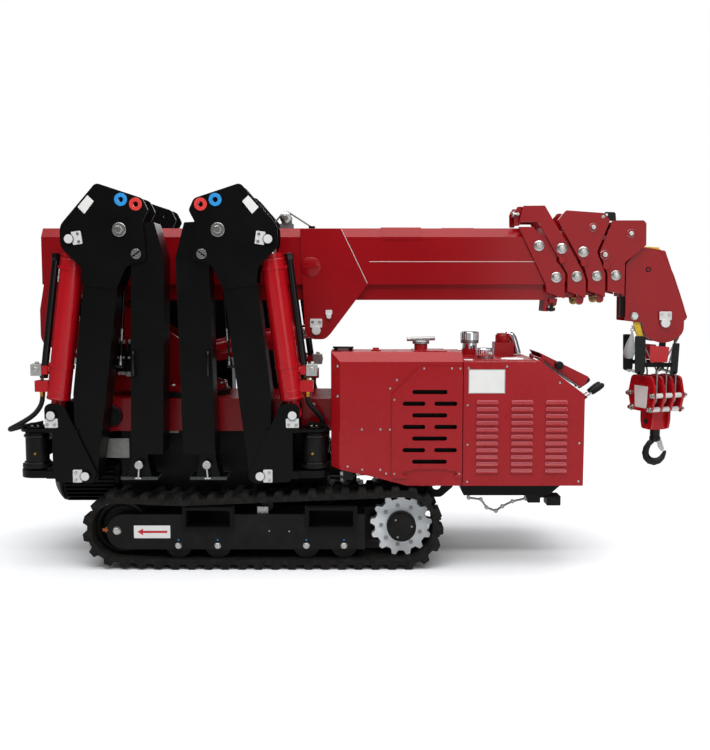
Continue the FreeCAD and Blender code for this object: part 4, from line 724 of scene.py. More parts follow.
on_legs("blue_hole_rings", hole_rings(BLUE_HOLE), BLUE_RING, 1.2)
on_legs("red_hole_rings", hole_rings(RED_HOLE), RED_RING, 1.2)
LEG_LABEL = [(-337, 1606), (-311, 1581), (-352, 1529), (-380, 1557)]
on_legs("leg_labels", lambda bm: prism(bm, rounded_outline(LEG_LABEL, 3), LEG_OUT - 0.7, LEG_OUT), WHITE)
on_legs("grab_loops", lambda bm: swept(bm, [(-159, BEAM_OUT + 1, 950), (-159, BEAM_OUT - 26, 948),
                                            (-159, BEAM_OUT - 26, 846), (-159, BEAM_OUT + 1, 844)], 5.5),
        GLOSS_BLACK)
on_legs("plate_welds", lambda bm: swept(bm, [(-368, BEAM_OUT - 1, 1234), (-300, BEAM_OUT - 2, 1227),
                                             (-226, BEAM_OUT - 1, 1218)], 4.0, 8), BLACK)


def leg_edges(bm):
    """The folded seams down the arm's and the inner leg's edges, as raised weld beads."""
    for points in (((-180, 507), (-163, 1328)), ((-46, 507), (-27, 1340))):
        (x0, z0), (x1, z1) = points
        for y in (BEAM_OUT + 1.5, LEG_IN - PLATE - 3.0):
            swept(bm, [(x0, y, z0), (0.5 * (x0 + x1), y, 0.5 * (z0 + z1)), (x1, y, z1)], 2.6, 6, 1)


on_legs("leg_seams", leg_edges, BLACK)


STRUT_X = 15.0      # the strut stands this far in front of the arm's edge


def latch_strut(bm):
    """The gas strut that holds the leg's latch, on a tab of the arm's edge."""
    bar(bm, (-231 + STRUT_X, -300, 1205), (-243 + STRUT_X, -300, 1040), 6.5)
    bar(bm, (-246 + STRUT_X, -300, 1008), (-252 + STRUT_X, -300, 900), 4.0)
    box(bm, (-288, -252 + STRUT_X + 10), (-304, -296), (872, 884))


def latch_ends(bm):
    """The strut's gland, its eye and the collar between them."""
    bar(bm, (-243 + STRUT_X, -300, 1044), (-246 + STRUT_X, -300, 990), 9.5)
    bar(bm, (-252 + STRUT_X, -300, 902), (-253 + STRUT_X, -300, 884), 13.0)
    bar(bm, (-251 + STRUT_X, -300, 925), (-252 + STRUT_X, -300, 900), 7.0)


on_legs("latch_struts", latch_strut, GLOSS_BLACK)
on_legs("latch_ends", latch_ends, ZINC)


def foot_steel(bm):
    """The foot's pin head with its hanging T-pin."""
    low = BEAM_OUT
    head = [(0, 0), (18.8, 0), (18.8, 9.6), (17, 11.6), (0, 11.6)]
    lathe(bm, (FOOT_PIN[0], low - 7, FOOT_PIN[1]), LEFT, head, 32)
    bar(bm, (-146, low - 12, 446), (-150, low - 12, 402), 4.2)
    bar(bm, (-164, low - 12, 402), (-136, low - 12, 401), 4.2)


def foot_rims(bm):
    """The pad's worn galvanised edges."""
    for y in (-375.4, -256.1):
        box(bm, (-228.5, -70.5), (y - 1.2, y + 1.2), (FOOT_Z - 0.4, FOOT_Z + 13))
    for x in (-228, -71):
        box(bm, (x - 1.2, x + 1.2), (-376, -255), (FOOT_Z - 0.4, FOOT_Z + 13))


on_legs("foot_pins", foot_steel, ZINC)
on_legs("foot_rims", foot_rims, WORN_BLACK, 0.6)


def on_cylinder(distance, side=0.0):
    """A place on the leg cylinder's line; side is how far it lies to the front of it."""
    dx, dz = HEAD_PIN[0] - CYL_PIN[0], HEAD_PIN[1] - CYL_PIN[1]
    length = math.hypot(dx, dz)
    dx, dz = dx / length, dz / length
    return CYL_PIN[0] + dx * distance - dz * side, HUB[1], CYL_PIN[1] + dz * distance + dx * side


CYL_LENGTH = math.hypot(HEAD_PIN[0] - CYL_PIN[0], HEAD_PIN[1] - CYL_PIN[1])


def pilot_tube(bm):
    """The black oil tube beside the barrel, with the nut at each end."""
    bar(bm, on_cylinder(146, 73), on_cylinder(CYL_LENGTH - 66, 73), 16)
    for low, high in ((146, 176), (CYL_LENGTH - 96, CYL_LENGTH - 66)):
        lathe(bm, on_cylinder(low, 73), Vector(on_cylinder(high, 73)) - Vector(on_cylinder(low, 73)),
              [(0, 0), (19, 0), (20, 2), (20, 28), (19, 30), (0, 30)], 6)


def gland_rings(bm):
    """The turned bands round the barrel, and the boss that carries the valve."""
    axis = Vector(on_cylinder(1)) - Vector(on_cylinder(0))
    for low, high, radius in ((CYL_LENGTH - 96, CYL_LENGTH - 84, 51.5), (62, 70, 52), (96, 100, 51.2)):
        lathe(bm, on_cylinder(low), axis, [(0, 0), (radius - 1.5, 0), (radius, 1.5),
                                           (radius, high - low - 1.5), (radius - 1.5, high - low),
                                           (0, high - low)], 48)
    bar(bm, (-570, HUB[1], 866), (-530, HUB[1], 866), 16)
    box(bm, (-572, -548), (HUB[1] - 20, HUB[1] + 20), (846, 884))


on_legs("pilot_tubes", pilot_tube, GLOSS_BLACK)
on_legs("cylinder_bands", gland_rings, TUBE_RED)
on_legs("cylinder_rods", lambda bm: bar(bm, on_cylinder(CYL_LENGTH - 62), on_cylinder(CYL_LENGTH - 20),
                                        23), CHROME)


def valve_block(bm):
    """The silver load-holding valve on the barrel's boss, with its cartridge and plugs."""
    box(bm, (-620, -573), (HUB[1] - 24, HUB[1] + 24), (840, 891))
    lathe(bm, (-620, HUB[1], 868), FRONT, [(0, 0), (14, 0), (14, 3), (0, 3)], 6)
    lathe(bm, (-598, HUB[1] - 24, 868), LEFT, [(0, 0), (12, 0), (12, 3), (9, 5), (0, 5)], 6)
    lathe(bm, (-598, HUB[1], 891), UP, [(0, 0), (11, 0), (11, 4), (8, 10), (0, 10)], 6)


def valve_fittings(bm):
    """The brass adapter under the valve, and the union that the hose leaves."""
    lathe(bm, (-577, HUB[1], 842), (0, 0, -1), [(0, 0), (10, 0), (10, 12), (8, 14), (8, 23), (0, 23)], 6)
    lathe(bm, (-577, HUB[1], 774), (0, 0, -1), [(0, 0), (13.6, 0), (13.6, 12), (12.2, 14), (12.2, 26),
                                                (0, 26)], 6)


on_legs("valve_blocks", valve_block, SILVER, 1.6)
on_legs("valve_unions", valve_fittings, BRASS)


def pedestal_trim(bm):
    """The grease rings round the hub's two ends, on the pedestal's plates."""
    for z in (396.0, 600.5, 612.5):
        lathe(bm, (HUB[0], HUB[1], z), UP, [(0, 0), (42, 0), (43.5, 1.5), (43.5, 6), (42, 7.5), (0, 7.5)],
              40)


on_legs("hub_caps", pedestal_trim, BLACK)
leg_fasteners("hub_bolts", HEX, [(HUB[0] + 24 * math.cos(i * math.pi / 3),
                                  HUB[1] + 24 * math.sin(i * math.pi / 3), 620, UP) for i in range(6)],
              ZINC, 0.7)

# The hubs' barrels on the chassis: flange rings and grease nipples.
bm = bmesh.new()
for x in (HUB[0], -HUB[0]):
    for y in (HUB[1], -HUB[1]):
        for z in (456.0, 574.0):
            ring(bm, (x, y, 0), UP, 48, 56.5, z, z + 9)
piece("hub_flanges", bm, GLOSS_BLACK, "chassis", 1.5)
fasteners("grease_nipples", BUTTON, both([(x, -365.4, 505, LEFT) for x in (-600, 600)]), BRASS, "chassis",
          1.5)


# Tracks
FRAME_OUT = -375.0      # outer face of a track frame
ARROW = [(-163, 162), (-138, 177), (-138, 167), (-33, 167), (-33, 157), (-138, 157), (-138, 147)]
ARROW_LABEL = [(-178, 134), (-20, 134), (-20, 190), (-178, 190)]
on_sides("arrow_labels", lambda bm: prism(bm, rounded_outline(ARROW_LABEL, 2), FRAME_OUT - 0.7, FRAME_OUT),
         WHITE)
on_sides("arrow_prints", lambda bm: prism(bm, ARROW, FRAME_OUT - 0.9, FRAME_OUT - 0.6), ARROW_RED)
ROLLER_BOLT_X = (15.0, 186.0, 572.0, 736.0)
fasteners("roller_bolts", HEX, both([(x, FRAME_OUT, 101, LEFT) for x in ROLLER_BOLT_X]), ZINC, "chassis",
          1.35)
fasteners("roller_axle_screws", BUTTON, both([(x, FRAME_OUT, 126, LEFT) for x in ROLLER_BOLT_X]),
          BLUE_RING, "chassis", 0.7)
fasteners("frame_screws", BUTTON, both([(411, FRAME_OUT, 166, LEFT), (498, FRAME_OUT, 165, LEFT)]), ZINC,
          "chassis", 0.9)
fasteners("tension_bolts", HEX, both([(-251, FRAME_OUT, 168, LEFT)]), ZINC, "chassis", 1.7)


def tensioner(bm):
    """The tension screw in front of its bolt, between the frame's cheeks."""
    bar(bm, (-262, FRAME_OUT + 11, 168), (-316, FRAME_OUT + 11, 168), 8.5)
    bar(bm, (-290, FRAME_OUT + 11, 168), (-304, FRAME_OUT + 11, 168), 13, 6)


on_sides("tension_screws", tensioner, COPPER, "chassis")
on_sides("carrier_brackets", lambda bm: box(bm, (357, 404), (-352, -338), (226, 268)), KEEPER, "chassis",
         1.5)
fasteners("carrier_bracket_screws", HEX, both([(369, -352, 238, LEFT), (392, -352, 238, LEFT),
                                               (380, -352, 257, LEFT)]), ZINC, "chassis", 0.5)


def pocket_lips(bm):
    """The rounded steel lips round the fork pockets' mouths."""
    for middle in (147.0, 680.0):
        outline = rounded_outline([(middle - 108, 172), (middle + 108, 172), (middle + 108, 274),
                                   (middle - 108, 274)], 14)
        inner = rounded_outline([(middle - 96, 184), (middle + 96, 184), (middle + 96, 261),
                                 (middle - 96, 261)], 8)
        frame_loop(bm, outline, inner, -398.6, -391.5)


on_sides("pocket_lips", pocket_lips, BLACK, "chassis", 2.0)


SPROCKET = (987.0, 180.0)       # the drive sprocket's middle


def drive_cover(bm):
    """The final drive's turned cover, stepped to its rim."""
    lathe(bm, (SPROCKET[0], -369.4, SPROCKET[1]), LEFT,
          [(0, 0), (63, 0), (63, 2), (61, 5), (54, 6), (53, 9), (50, 10), (0, 11)], 56)


on_sides("drive_covers", drive_cover, DARK, "chassis", 0.8)
bolt_angles = [2 * math.pi * (i + 0.5) / 9 for i in range(9)]
fasteners("sprocket_bolts", HEX, both([(SPROCKET[0] + 88 * math.cos(a), -322.3,
                                        SPROCKET[1] + 88 * math.sin(a), LEFT) for a in bolt_angles]),
          SPROCKET_BOLT, "chassis", 0.85)
fasteners("drive_plugs", BUTTON, both([(SPROCKET[0] + 44 * math.cos(a), -380.2,
                                        SPROCKET[1] + 44 * math.sin(a), LEFT) for a in (0.15, 2.2, 4.3)]),
          STEEL, "chassis", 1.1)

# Chassis, deck and turret
PLUG = [(0, 0), (46, 0), (46, 22), (43, 26), (33, 27), (30, 22), (0, 22)]
bm = bmesh.new()
for sign in (-1, 1):
    lathe(bm, (-301, sign * 200, 649), (0, sign, 0), PLUG, 40)
piece("deck_plugs", bm, RUBBER_TRIM, "chassis", 0.8)
bm = bmesh.new()
for x0, x1, z0, z1 in ((-362, -239, 452, 541), (-71, -13, 566, 584)):
    prism(bm, rounded_outline([(x0, z0), (x1, z0), (x1, z1), (x0, z1)], 3), -176.2, -175)
piece("chassis_plate", bm, GALVANISED, "chassis")
fasteners("deck_bolts", HEX, both([(x, -215.2, z, LEFT) for x in (-200, 60, 330, 600)
                                   for z in (606, 702)]), ZINC, "chassis", 0.7)
fasteners("chassis_bolts", HEX, both([(728, -240, 394, LEFT), (799, -240, 393, LEFT),
                                      (728, -240, 364, LEFT), (799, -240, 362, LEFT),
                                      (869, -240, 362, LEFT)]), ZINC, "chassis", 1.05)
fasteners("slew_bolts", HEX, [(178 * math.cos(math.radians(a)), 178 * math.sin(math.radians(a)), 779.5, UP)
                              for a in range(0, 360, 20)], ZINC, "turret", 1.0)


SPOOL_X = range(-312, -187, 25)     # the valve bank's five spools


def valve_bank(bm):
    """The turret's valve bank beside its left plate: five spools with their caps."""
    box(bm, (-322, -196), (-146, -111), (842, 872))
    for x in SPOOL_X:
        box(bm, (x - 10, x + 10), (-144, -113), (870, 940))
        box(bm, (x - 7, x + 7), (-140, -118), (938, 968))


def valve_caps(bm):
    """Each spool's cap, its port in front and its plug below."""
    for x in SPOOL_X:
        bar(bm, (x, -129, 968), (x, -129, 986), 7)
        bar(bm, (x, -146, 905), (x, -153, 905), 6)
        bar(bm, (x, -129, 842), (x, -129, 826), 7)


one("valve_bank", valve_bank, BLACK, "turret", 1.0)
one("valve_caps", valve_caps, SILVER, "turret", 1.0)


def turret_pins(bm):
    """Keepers on the boom's foot pin and on the boom cylinder's pin."""
    for pin, turn in (((-553.0, 1300.0), -90.0), ((-273.0, 845.0), 0.0)):
        t_keeper(bm, pin, turn, -112.0 if pin[0] > -400 else -120.0)


on_sides("turret_keepers", turret_pins, KEEPER, "turret", 1.0)


def turret_hoses(bm):
    """Steel pipes clipped along the turret's plates, from the ring to the boom's foot."""
    y = -119
    for x in (-420, -442, -464):
        swept(bm, [(x + 90, y, 790), (x + 40, y, 900), (x, y, 1050), (x, y, 1190)], 7, 10)


def pipe_clips(bm):
    """The clips across the pipes."""
    for x, z in ((-447, 930), (-442, 1080), (-442, 1180)):
        box(bm, (x - 36, x + 36), (-128, -109.5), (z - 8, z + 8))


on_sides("turret_pipes", turret_hoses, GLOSS_BLACK, "turret")
on_sides("pipe_clips", pipe_clips, ZINC, "turret", 1.2)


# The winch: the rope wound on its drum in one layer, and the brake housing's bolts.
WINCH = (-558.0, 1030.0)
ROPE = 8.0              # the rope's thickness
ROPE_TURNS, DRUM_R = 20.0, 66.0


def rope_layers(name, body):
    """A helix of rope on the drum by Geometry Nodes, one strand thick."""
    tree, start = group("rope winding", [("Turns", "NodeSocketFloat", ROPE_TURNS),
                                         ("Pitch", "NodeSocketFloat", ROPE * MM),
                                         ("Drum", "NodeSocketFloat", DRUM_R * MM),
                                         ("Rope", "NodeSocketFloat", ROPE / 2 * MM)])
    helix = add(tree, "GeometryNodeCurveSpiral", {"Resolution": 40},
                {"Rotations": start.outputs["Turns"], "Start Radius": start.outputs["Drum"],
                 "End Radius": start.outputs["Drum"]})
    tall = add(tree, "ShaderNodeMath", {"operation": "MULTIPLY"},
               {0: start.outputs["Turns"], 1: start.outputs["Pitch"]})
    tree.links.new(tall.outputs[0], helix.inputs["Height"])
    strand = add(tree, "GeometryNodeCurvePrimitiveCircle", {"Resolution": 8},
                 {"Radius": start.outputs["Rope"]})
    tube = add(tree, "GeometryNodeCurveToMesh", {"Fill Caps": True},
               {"Curve": helix.outputs[0], "Profile Curve": strand.outputs[0]})
    turn = add(tree, "GeometryNodeTransform", {"Rotation": (math.radians(-90), 0, 0),
                                               "Translation": place(WINCH[0], -80.0, WINCH[1])},
               {"Geometry": tube.outputs[0]})
    real = add(tree, "GeometryNodeRealizeInstances", {}, {"Geometry": turn.outputs[0]})
    smooth = add(tree, "GeometryNodeSetShadeSmooth", {}, {"Geometry": real.outputs[0]})
    coat = add(tree, "GeometryNodeSetMaterial", {"Material": WIRE_ROPE}, {"Geometry": smooth.outputs[0]})
    add(tree, "NodeGroupOutput", {}, {0: coat.outputs[0]})
    host = linked(name + "_host", bpy.data.meshes.new(name))
    return realised(name, host, tree, {"Turns": ROPE_TURNS}, WIRE_ROPE, body)


rope_layers("winch_rope", "turret")
fasteners("winch_bolts", HEX, [(WINCH[0] + 36 * math.cos(math.radians(a)), 142.5,
                                WINCH[1] + 36 * math.sin(math.radians(a)), RIGHT)
                               for a in range(30, 390, 60)], ZINC, "turret", 0.6)
fasteners("motor_bolts", BUTTON, [(-572 + 10, -70 + 96 * math.cos(math.radians(a)),
                                   350 + 96 * math.sin(math.radians(a)), FRONT)
                                  for a in range(45, 405, 90)], ZINC, "chassis", 1.5)


# Hood
SIDE = -375.0           # the hood's left skin
PANEL_FACE = -383.3     # outer face of the slotted panel
FRONT_SCREWS = ((709, 885), (709, 756), (813, 612), (893, 612), (934, 612), (752, 451), (815, 437),
                (893, 436), (918, 420), (963, 826), (935, 790))
REAR_SCREWS = ((1270, 876), (1435, 884), (1268, 717), (1269, 546), (1269, 384), (1662, 814), (1751, 552),
               (1751, 385))
PANEL_SCREWS = ((1079, 876), (1198, 876), (953, 742), (953, 420), (1234, 420), (1234, 876))
screws = [(x, SIDE, z, LEFT) for x, z in FRONT_SCREWS + REAR_SCREWS]
fasteners("hood_screws", BUTTON, both(screws), ZINC, "chassis", 1.15)
fasteners("panel_screws", BUTTON, both([(x, PANEL_FACE, z, LEFT) for x, z in PANEL_SCREWS]), ZINC,
          "chassis", 1.0)


def access_cover(bm):
    """The flat cover low on the hood's front part, 1.2 mm thick."""
    prism(bm, [(716, 604), (934, 604), (934, 408), (833, 424), (716, 452)], SIDE - 1.2, SIDE)


on_sides("access_covers", access_cover, HOOD_RED, "chassis", 0.4)
DATA_PLATE = [(1271, 768), (1428, 768), (1428, 872), (1271, 872)]
PLATE_WINDOW = [(1274, 771), (1425, 771), (1425, 869), (1274, 869)]
one("blank_data_plate", lambda bm: prism(bm, DATA_PLATE, SIDE - 0.9, SIDE), WHITE, "chassis", 0.3)
one("data_plate_rim", lambda bm: frame_loop(bm, DATA_PLATE, PLATE_WINDOW, SIDE - 1.2, SIDE - 0.2),
    GALVANISED)


def radiator(bm):
    """The dark core behind the slots, its fins upright."""
    box(bm, (960, 1236), (-352, -340), (446, 860))
    for x in range(964, 1236, 8):
        box(bm, (x, x + 2), (-358, -351), (448, 858))


on_sides("radiator_cores", radiator, SOOT, "chassis")


def louvre_lips(bm):
    """The rolled lip on top of each louvre, in a lighter red that is a painted highlight."""
    for x0 in (1307.0, 1457.0, 1605.0):
        for row in range(11):
            z = 728.0 - row * 29.8
            swept(bm, [(x0 + 3, SIDE - 1, z + 7.5), (x0 + 46, SIDE - 1.6, z + 7.5),
                       (x0 + 89, SIDE - 1, z + 7.5)], 4.2, 8, 1)
            for x in (x0 + 1.5, x0 + 90.5):
                lathe(bm, (x - 1.5, SIDE - 1, z - 1), BACK, [(0, 0), (7.5, 0), (7.5, 3), (0, 3)], 12)


on_sides("louvre_lips", louvre_lips, LOUVRE_HIGHLIGHT_RED, "chassis")

# The hood's top: caps, a handle and the exhaust's chrome pipe.
TOP, REAR_TOP = 944.3, 904.3


def filler_cap(bm):
    """The T-handle filler cap on the raised part."""
    lathe(bm, (1074, -250, TOP + 30), UP, [(0, 0), (35, 0), (37, 2), (37, 12), (34, 15), (0, 16)], 36)
    bar(bm, (1012, -250, TOP + 50), (1136, -250, TOP + 54), 9)
    lathe(bm, (1074, -250, TOP + 40), UP, [(0, 0), (13, 0), (13, 12), (0, 12)], 20)


def chrome_caps(bm):
    """The tall cap on the rear part and the knurled one beside it."""
    lathe(bm, (1319, 0, REAR_TOP + 30), UP, [(0, 0), (34, 0), (34, 42), (43, 44), (43, 78), (40, 82),
                                             (0, 83)], 40)
    lathe(bm, (1370, -150, REAR_TOP + 10), UP, [(0, 0), (39, 0), (40, 2), (40, 30), (37, 34), (0, 35)], 40)
    for i in range(24):
        a = 2 * math.pi * i / 24
        bar(bm, (1370 + 40 * math.cos(a), -150 + 40 * math.sin(a), REAR_TOP + 14),
            (1370 + 40 * math.cos(a), -150 + 40 * math.sin(a), REAR_TOP + 40), 2.0, 6)


def exhaust_pipe(bm):
    """The bent tailpipe out of the red housing."""
    swept(bm, [(1496, 65, REAR_TOP + 62), (1500, 65, REAR_TOP + 102), (1530, 60, REAR_TOP + 92),
               (1545, 50, REAR_TOP + 34), (1552, 44, REAR_TOP + 6)], 16, 20)


def cap_necks(bm):
    """The red necks under the caps and the exhaust, and the plate round the filler."""
    lathe(bm, (1074, -250, TOP - 2), UP, [(0, 0), (34, 0), (34, 4), (29, 8), (29, 34), (0, 34)], 36)
    lathe(bm, (1319, 0, REAR_TOP - 2), UP, [(0, 0), (52, 0), (52, 4), (36, 8), (36, 36), (0, 36)], 40)
    lathe(bm, (876, -250, TOP - 1), UP, [(0, 0), (22, 0), (22, 6), (14, 8), (14, 14), (0, 15)], 28)
    lathe(bm, (1485, 65, REAR_TOP + 58), UP, [(0, 0), (34, 0), (36, 4), (36, 32), (28, 44), (0, 46)], 32)
    box(bm, (1036, 1180), (-330, -170), (TOP - 1, TOP + 4))


for build, material in ((filler_cap, STEEL), (chrome_caps, CHROME), (exhaust_pipe, CHROME),
                        (cap_necks, HOOD_RED)):
    one(build.__name__, build, material, "chassis", 0.6)

bm = bmesh.new()
box(bm, (686, 778), (-262, -222), (TOP + 11, TOP + 17))
for x in (700, 764):
    box(bm, (x - 8, x + 8), (-258, -226), (TOP, TOP + 12))
piece("hood_handle", bm, BLACK, "chassis", 2.0)
bm = bmesh.new()
lathe(bm, (1485, -210, REAR_TOP), UP, [(0, 0), (52, 0), (52, 2), (49, 3.5), (0, 3.5)], 40)
box(bm, (1262, 1300), (-330, -250), (REAR_TOP - 0.5, REAR_TOP + 2))
piece("top_plates", bm, WHITE, "chassis", 0.4)
bm = bmesh.new()
for y in (-338, 338):
    swept(bm, [(1250, y, REAR_TOP + 1), (1400, y, REAR_TOP + 1.4), (1578, y, REAR_TOP + 1)], 3, 8, 1)
piece("top_seams", bm, HOOD_RED, "chassis")

# Control levers: rubber grips, and the slotted gate that they come out of.
grips = bmesh.new()
stalks = bmesh.new()
for y in (-160.0, -100.0, 100.0, 160.0):
    a, b = Vector((1792, y, 700)), Vector((1832, y, 730))
    along = (b - a).normalized()
    bar(stalks, b - along * 8, b + along * 34, 5)
    lathe(grips, b + along * 26, along, [(0, 0), (9, 0), (11.5, 8), (13.5, 40), (12, 60), (7, 68),
                                         (0, 70)], 20)
piece("lever_grips", grips, RUBBER_TRIM, "chassis")
piece("lever_stalks", stalks, CHROME, "chassis")
bm = bmesh.new()
for y0, y1 in ((-182, -78), (78, 182)):
    box(bm, (1772, 1775), (y0, y1), (676, 724))
piece("lever_gates", bm, BLACK, "chassis", 1.0)
bm = bmesh.new()
lathe(bm, (1672, -303, 884), LEFT, [(0, 0), (17, 0), (18, 2), (18, 18), (15, 22), (0, 23)], 24)
bar(bm, (1672, -296, 884), (1672, -306, 884), 8)
piece("lid_knob", bm, RUBBER_TRIM, "lid", 0.6)


LID_SIDES = (-303.0, -57.0)     # outer faces of the lid's two cheeks
SKIN = 3.0                      # the sheet, drawn thicker than it is


def lid_cover(bm):
    """The control lid's deep cover: two cheeks, the skin over them and its turned-down front edge."""
    cheek = [(1588, 936), (1802, 830), (1788, 800), (1772, 790), (1602, 914)]
    for low in (LID_SIDES[0], LID_SIDES[1] - SKIN):
        prism(bm, cheek, low, low + SKIN)
    prism(bm, [(1587, 939), (1804, 833), (1802, 830), (1588, 936)], *LID_SIDES)
    prism(bm, [(1804, 833), (1790, 799), (1787, 800), (1801, 830)], *LID_SIDES)


one("lid_cover", lid_cover, HOOD_RED, "lid", 0.8)

# Under the tray: the linkage's rods and its two blocks.
bm = bmesh.new()
spots = [(1298, -200, 274), (1354, -200, 266), (1380, -200, 229), (1422, -200, 213), (1451, -200, 234),
         (1497, -200, 257), (1555, -200, 270)]
for a, b in zip(spots, spots[1:]):
    bar(bm, a, b, 5)
for spot in spots:
    bar(bm, (spot[0], -207, spot[2]), (spot[0], -193, spot[2]), 9)
for x in (1298, 1555):
    bar(bm, (x, -200, 266), (x, -200, 316), 6)
piece("throttle_linkage", bm, STEEL, "chassis")
bm = bmesh.new()
box(bm, (1560, 1616), (-236, -164), (258, 314))
box(bm, (1645, 1707), (-240, -160), (246, 290))
box(bm, (1600, 1660), (-215, -185), (276, 314))
box(bm, (1300, 1560), (160, 200), (286, 314))
piece("tray_blocks", bm, DARK, "chassis", 3.0)

# Boom
PLATE_FACE = -98.0      # outer face of the collars' plates
WASHER_R = 23.0         # radius of the pad cover as it is drawn
COLLAR_WASHERS = (
    # body, x, z, radius
    ("boom", 1616, 1409, 23), ("boom", 1697, 1267, 23),
    ("boom_2", 1719, 1397, 23), ("boom_2", 1790, 1271, 23),
    ("boom_3", 1817, 1382, 23), ("boom_3", 1881, 1273, 22), ("boom_3", 1860, 1492, 18),
    ("boom_4", 1915, 1369, 20), ("boom_4", 1967, 1276, 22), ("boom_4", 2031, 1464, 18),
)
for i, (body, x, z, radius) in enumerate(COLLAR_WASHERS):
    fasteners(f"pad_covers_{i + 1}", WASHER, both([(x, PLATE_FACE + 0.2, z, LEFT)]), ZINC, body,
              1.04 * radius / WASHER_R, i)
for body, x, z in (("boom_2", 1723, 1345), ("boom_3", 1822, 1332), ("boom_4", 1924, 1318)):
    on_sides("pad_boss_" + body, lambda bm: lathe(bm, (x, PLATE_FACE, z), LEFT,
                                                  [(0, 0), (16, 0), (17, 1), (17, 7), (15, 9), (0, 9)],
                                                  28), BOOM_RED, body)


def boom_keeper(bm):
    """The keeper of the boom cylinder's upper pin, and the lug's round boss."""
    t_keeper(bm, (607.0, 1026.0), 90.0, -93.0)
    t_keeper(bm, (665.0, 1090.0), 90.0, -93.0, 0.55)


on_sides("boom_keepers", boom_keeper, KEEPER, "boom", 1.0)
fasteners("boom_keeper_screws", HEX, both([(591, -101.0, 1066, LEFT), (623, -101.0, 1066, LEFT)]), ZINC,
          "boom", KEEPER_SCREW)


def boom_seams(bm):
    """Thin white lines as painted highlights: one along the boom's side, and one along the gusset's edge.
    """
    swept(bm, [(850, -85.1, 1338), (1200, -85.1, 1338), (1600, -85.1, 1338)], 1.2, 8, 1)
    swept(bm, [(722, -93, 1484), (780, -93, 1365), (840, -93, 1240)], 1.3, 8, 1)


def gusset_disc(bm):
    """The round cover on the gusset, with the slot across it."""
    lathe(bm, (584, -93, 1314), LEFT, [(0, 0), (45, 0), (45, 2), (43, 3.2), (0, 3.2)], 48)
    box(bm, (548, 620), (-98.5, -96), (1310, 1318))


# White keeper paint as painted highlights along the boom's side and the gusset's edge.
on_sides("boom_seams", boom_seams, KEEPER, "boom")
on_sides("gusset_discs", gusset_disc, BOOM_RED, "boom")
bm = bmesh.new()
OUT, TOP_OUT = 3.5, 0.62 * 85 + 3.5
prism(bm, [(-85 - OUT, 1437), (-85 - OUT, 1450), (-TOP_OUT, 1494), (TOP_OUT, 1494), (85 + OUT, 1450),
           (85 + OUT, 1437), (85.2, 1437), (85.2, 1449.5), (52.8, 1490.2), (-52.8, 1490.2),
           (-85.2, 1449.5), (-85.2, 1437)], 902, 1085, "x")
piece("boom_saddle", bm, BOOM_RED, "boom", 0.8)
bm = bmesh.new()
prism(bm, rounded_outline([(1180, -30), (1330, -30), (1330, 30), (1180, 30)], 8), 1489.5, 1493, "z")
piece("boom_top_plates", bm, BOOM_RED, "boom", 0.8)
fasteners("boom_top_screws", BUTTON, [(x, y, 1494, UP) for x in (914, 1073) for y in (-40, 40)], ZINC,
          "boom", 1.1)


def rope_run(bm):
    """The hoist rope over the guide roller and down into the boom's top."""
    swept(bm, [(400, 0, 1500), (447, 0, 1560), (466, 0, 1570.5), (484, 0, 1563), (585, 0, 1498)], 4, 10, 2)


one("top_rope", rope_run, WIRE_ROPE, "boom")
fasteners("guide_covers", WASHER, both([(466, -40.2, 1540, LEFT)]), ZINC, "boom", 1.1)
bm = bmesh.new()
for x in (400, 585):
    ring(bm, (x, 0, 0), UP, 7, 15, 1489.5, 1503)
piece("rope_bushes", bm, BLACK, "boom", 1.0)


def underside_rollers(bm, x, z):
    """Two rollers under a collar, on their axle."""
    bar(bm, (x, -70, z), (x, -50, z), 17)
    bar(bm, (x, 50, z), (x, 70, z), 17)
    bar(bm, (x, -74, z), (x, 74, z), 7)


for body, x, z, top in (("boom", 1690, 1150, 1168), ("boom_2", 1812, 1159, 1182),
                        ("boom_3", 1904, 1168, 1194)):
    one("pad_rollers_" + body, lambda bm: underside_rollers(bm, x, z), YELLOW_ZINC, body, 0.8)
    bm = bmesh.new()
    for y in (-76, 70):
        prism(bm, rounded_outline([(x - 20, top + 4), (x - 14, z - 12), (x + 14, z - 12),
                                   (x + 20, top + 4)], 8), y, y + 6)
    piece("pad_roller_cheeks_" + body, bm, BOOM_RED, body, 0.6)
bm = bmesh.new()
prism(bm, [(1654, 1172), (1650, 1112), (1672, 1112), (1676, 1172)], -60, 60)
piece("rest_lug", bm, BOOM_RED, "boom", 1.5)
bm = bmesh.new()
bar(bm, (1664, -70, 1122), (1700, -70, 1122), 8)
box(bm, (1676, 1690), (-80, -58), (1112, 1150))
piece("rest_switch", bm, GREEN_BLACK, "boom", 1.0)

# The second section's latch in front of its collar, and the third section's rope roller on top.
bm = bmesh.new()
box(bm, (1510, 1545), (-70, 70), (1556, 1572))
for y in (-74, 62):
    prism(bm, rounded_outline([(1508, 1500), (1530, 1500), (1548, 1540), (1548, 1586), (1520, 1586),
                               (1506, 1560)], 6), y, y + 12)
piece("latch_frame", bm, BOOM_RED, "boom_2", 1.0)
bm = bmesh.new()
bar(bm, (1500, -86, 1551), (1528, -86, 1551), 6)
bar(bm, (1520, -92, 1551), (1520, 92, 1551), 7)
bar(bm, (1496, -86, 1551), (1502, -86, 1551), 11, 6)
piece("latch_pin", bm, ZINC, "boom_2")
bm = bmesh.new()
bar(bm, (1936, -60, 1546), (1936, 60, 1546), 15)
for y in (-66, 60):
    prism(bm, rounded_outline([(1910, 1528), (1972, 1520), (1968, 1562), (1918, 1564)], 10), y, y + 6)
piece("top_roller", bm, GREEN_BLACK, "boom_4", 1.0)
bm = bmesh.new()
bar(bm, (1924, -84, 1548), (1924, 84, 1548), 6)
bar(bm, (1904, -86, 1540), (1904, -98, 1540), 9, 6)
piece("roller_pin", bm, ZINC, "boom_4")

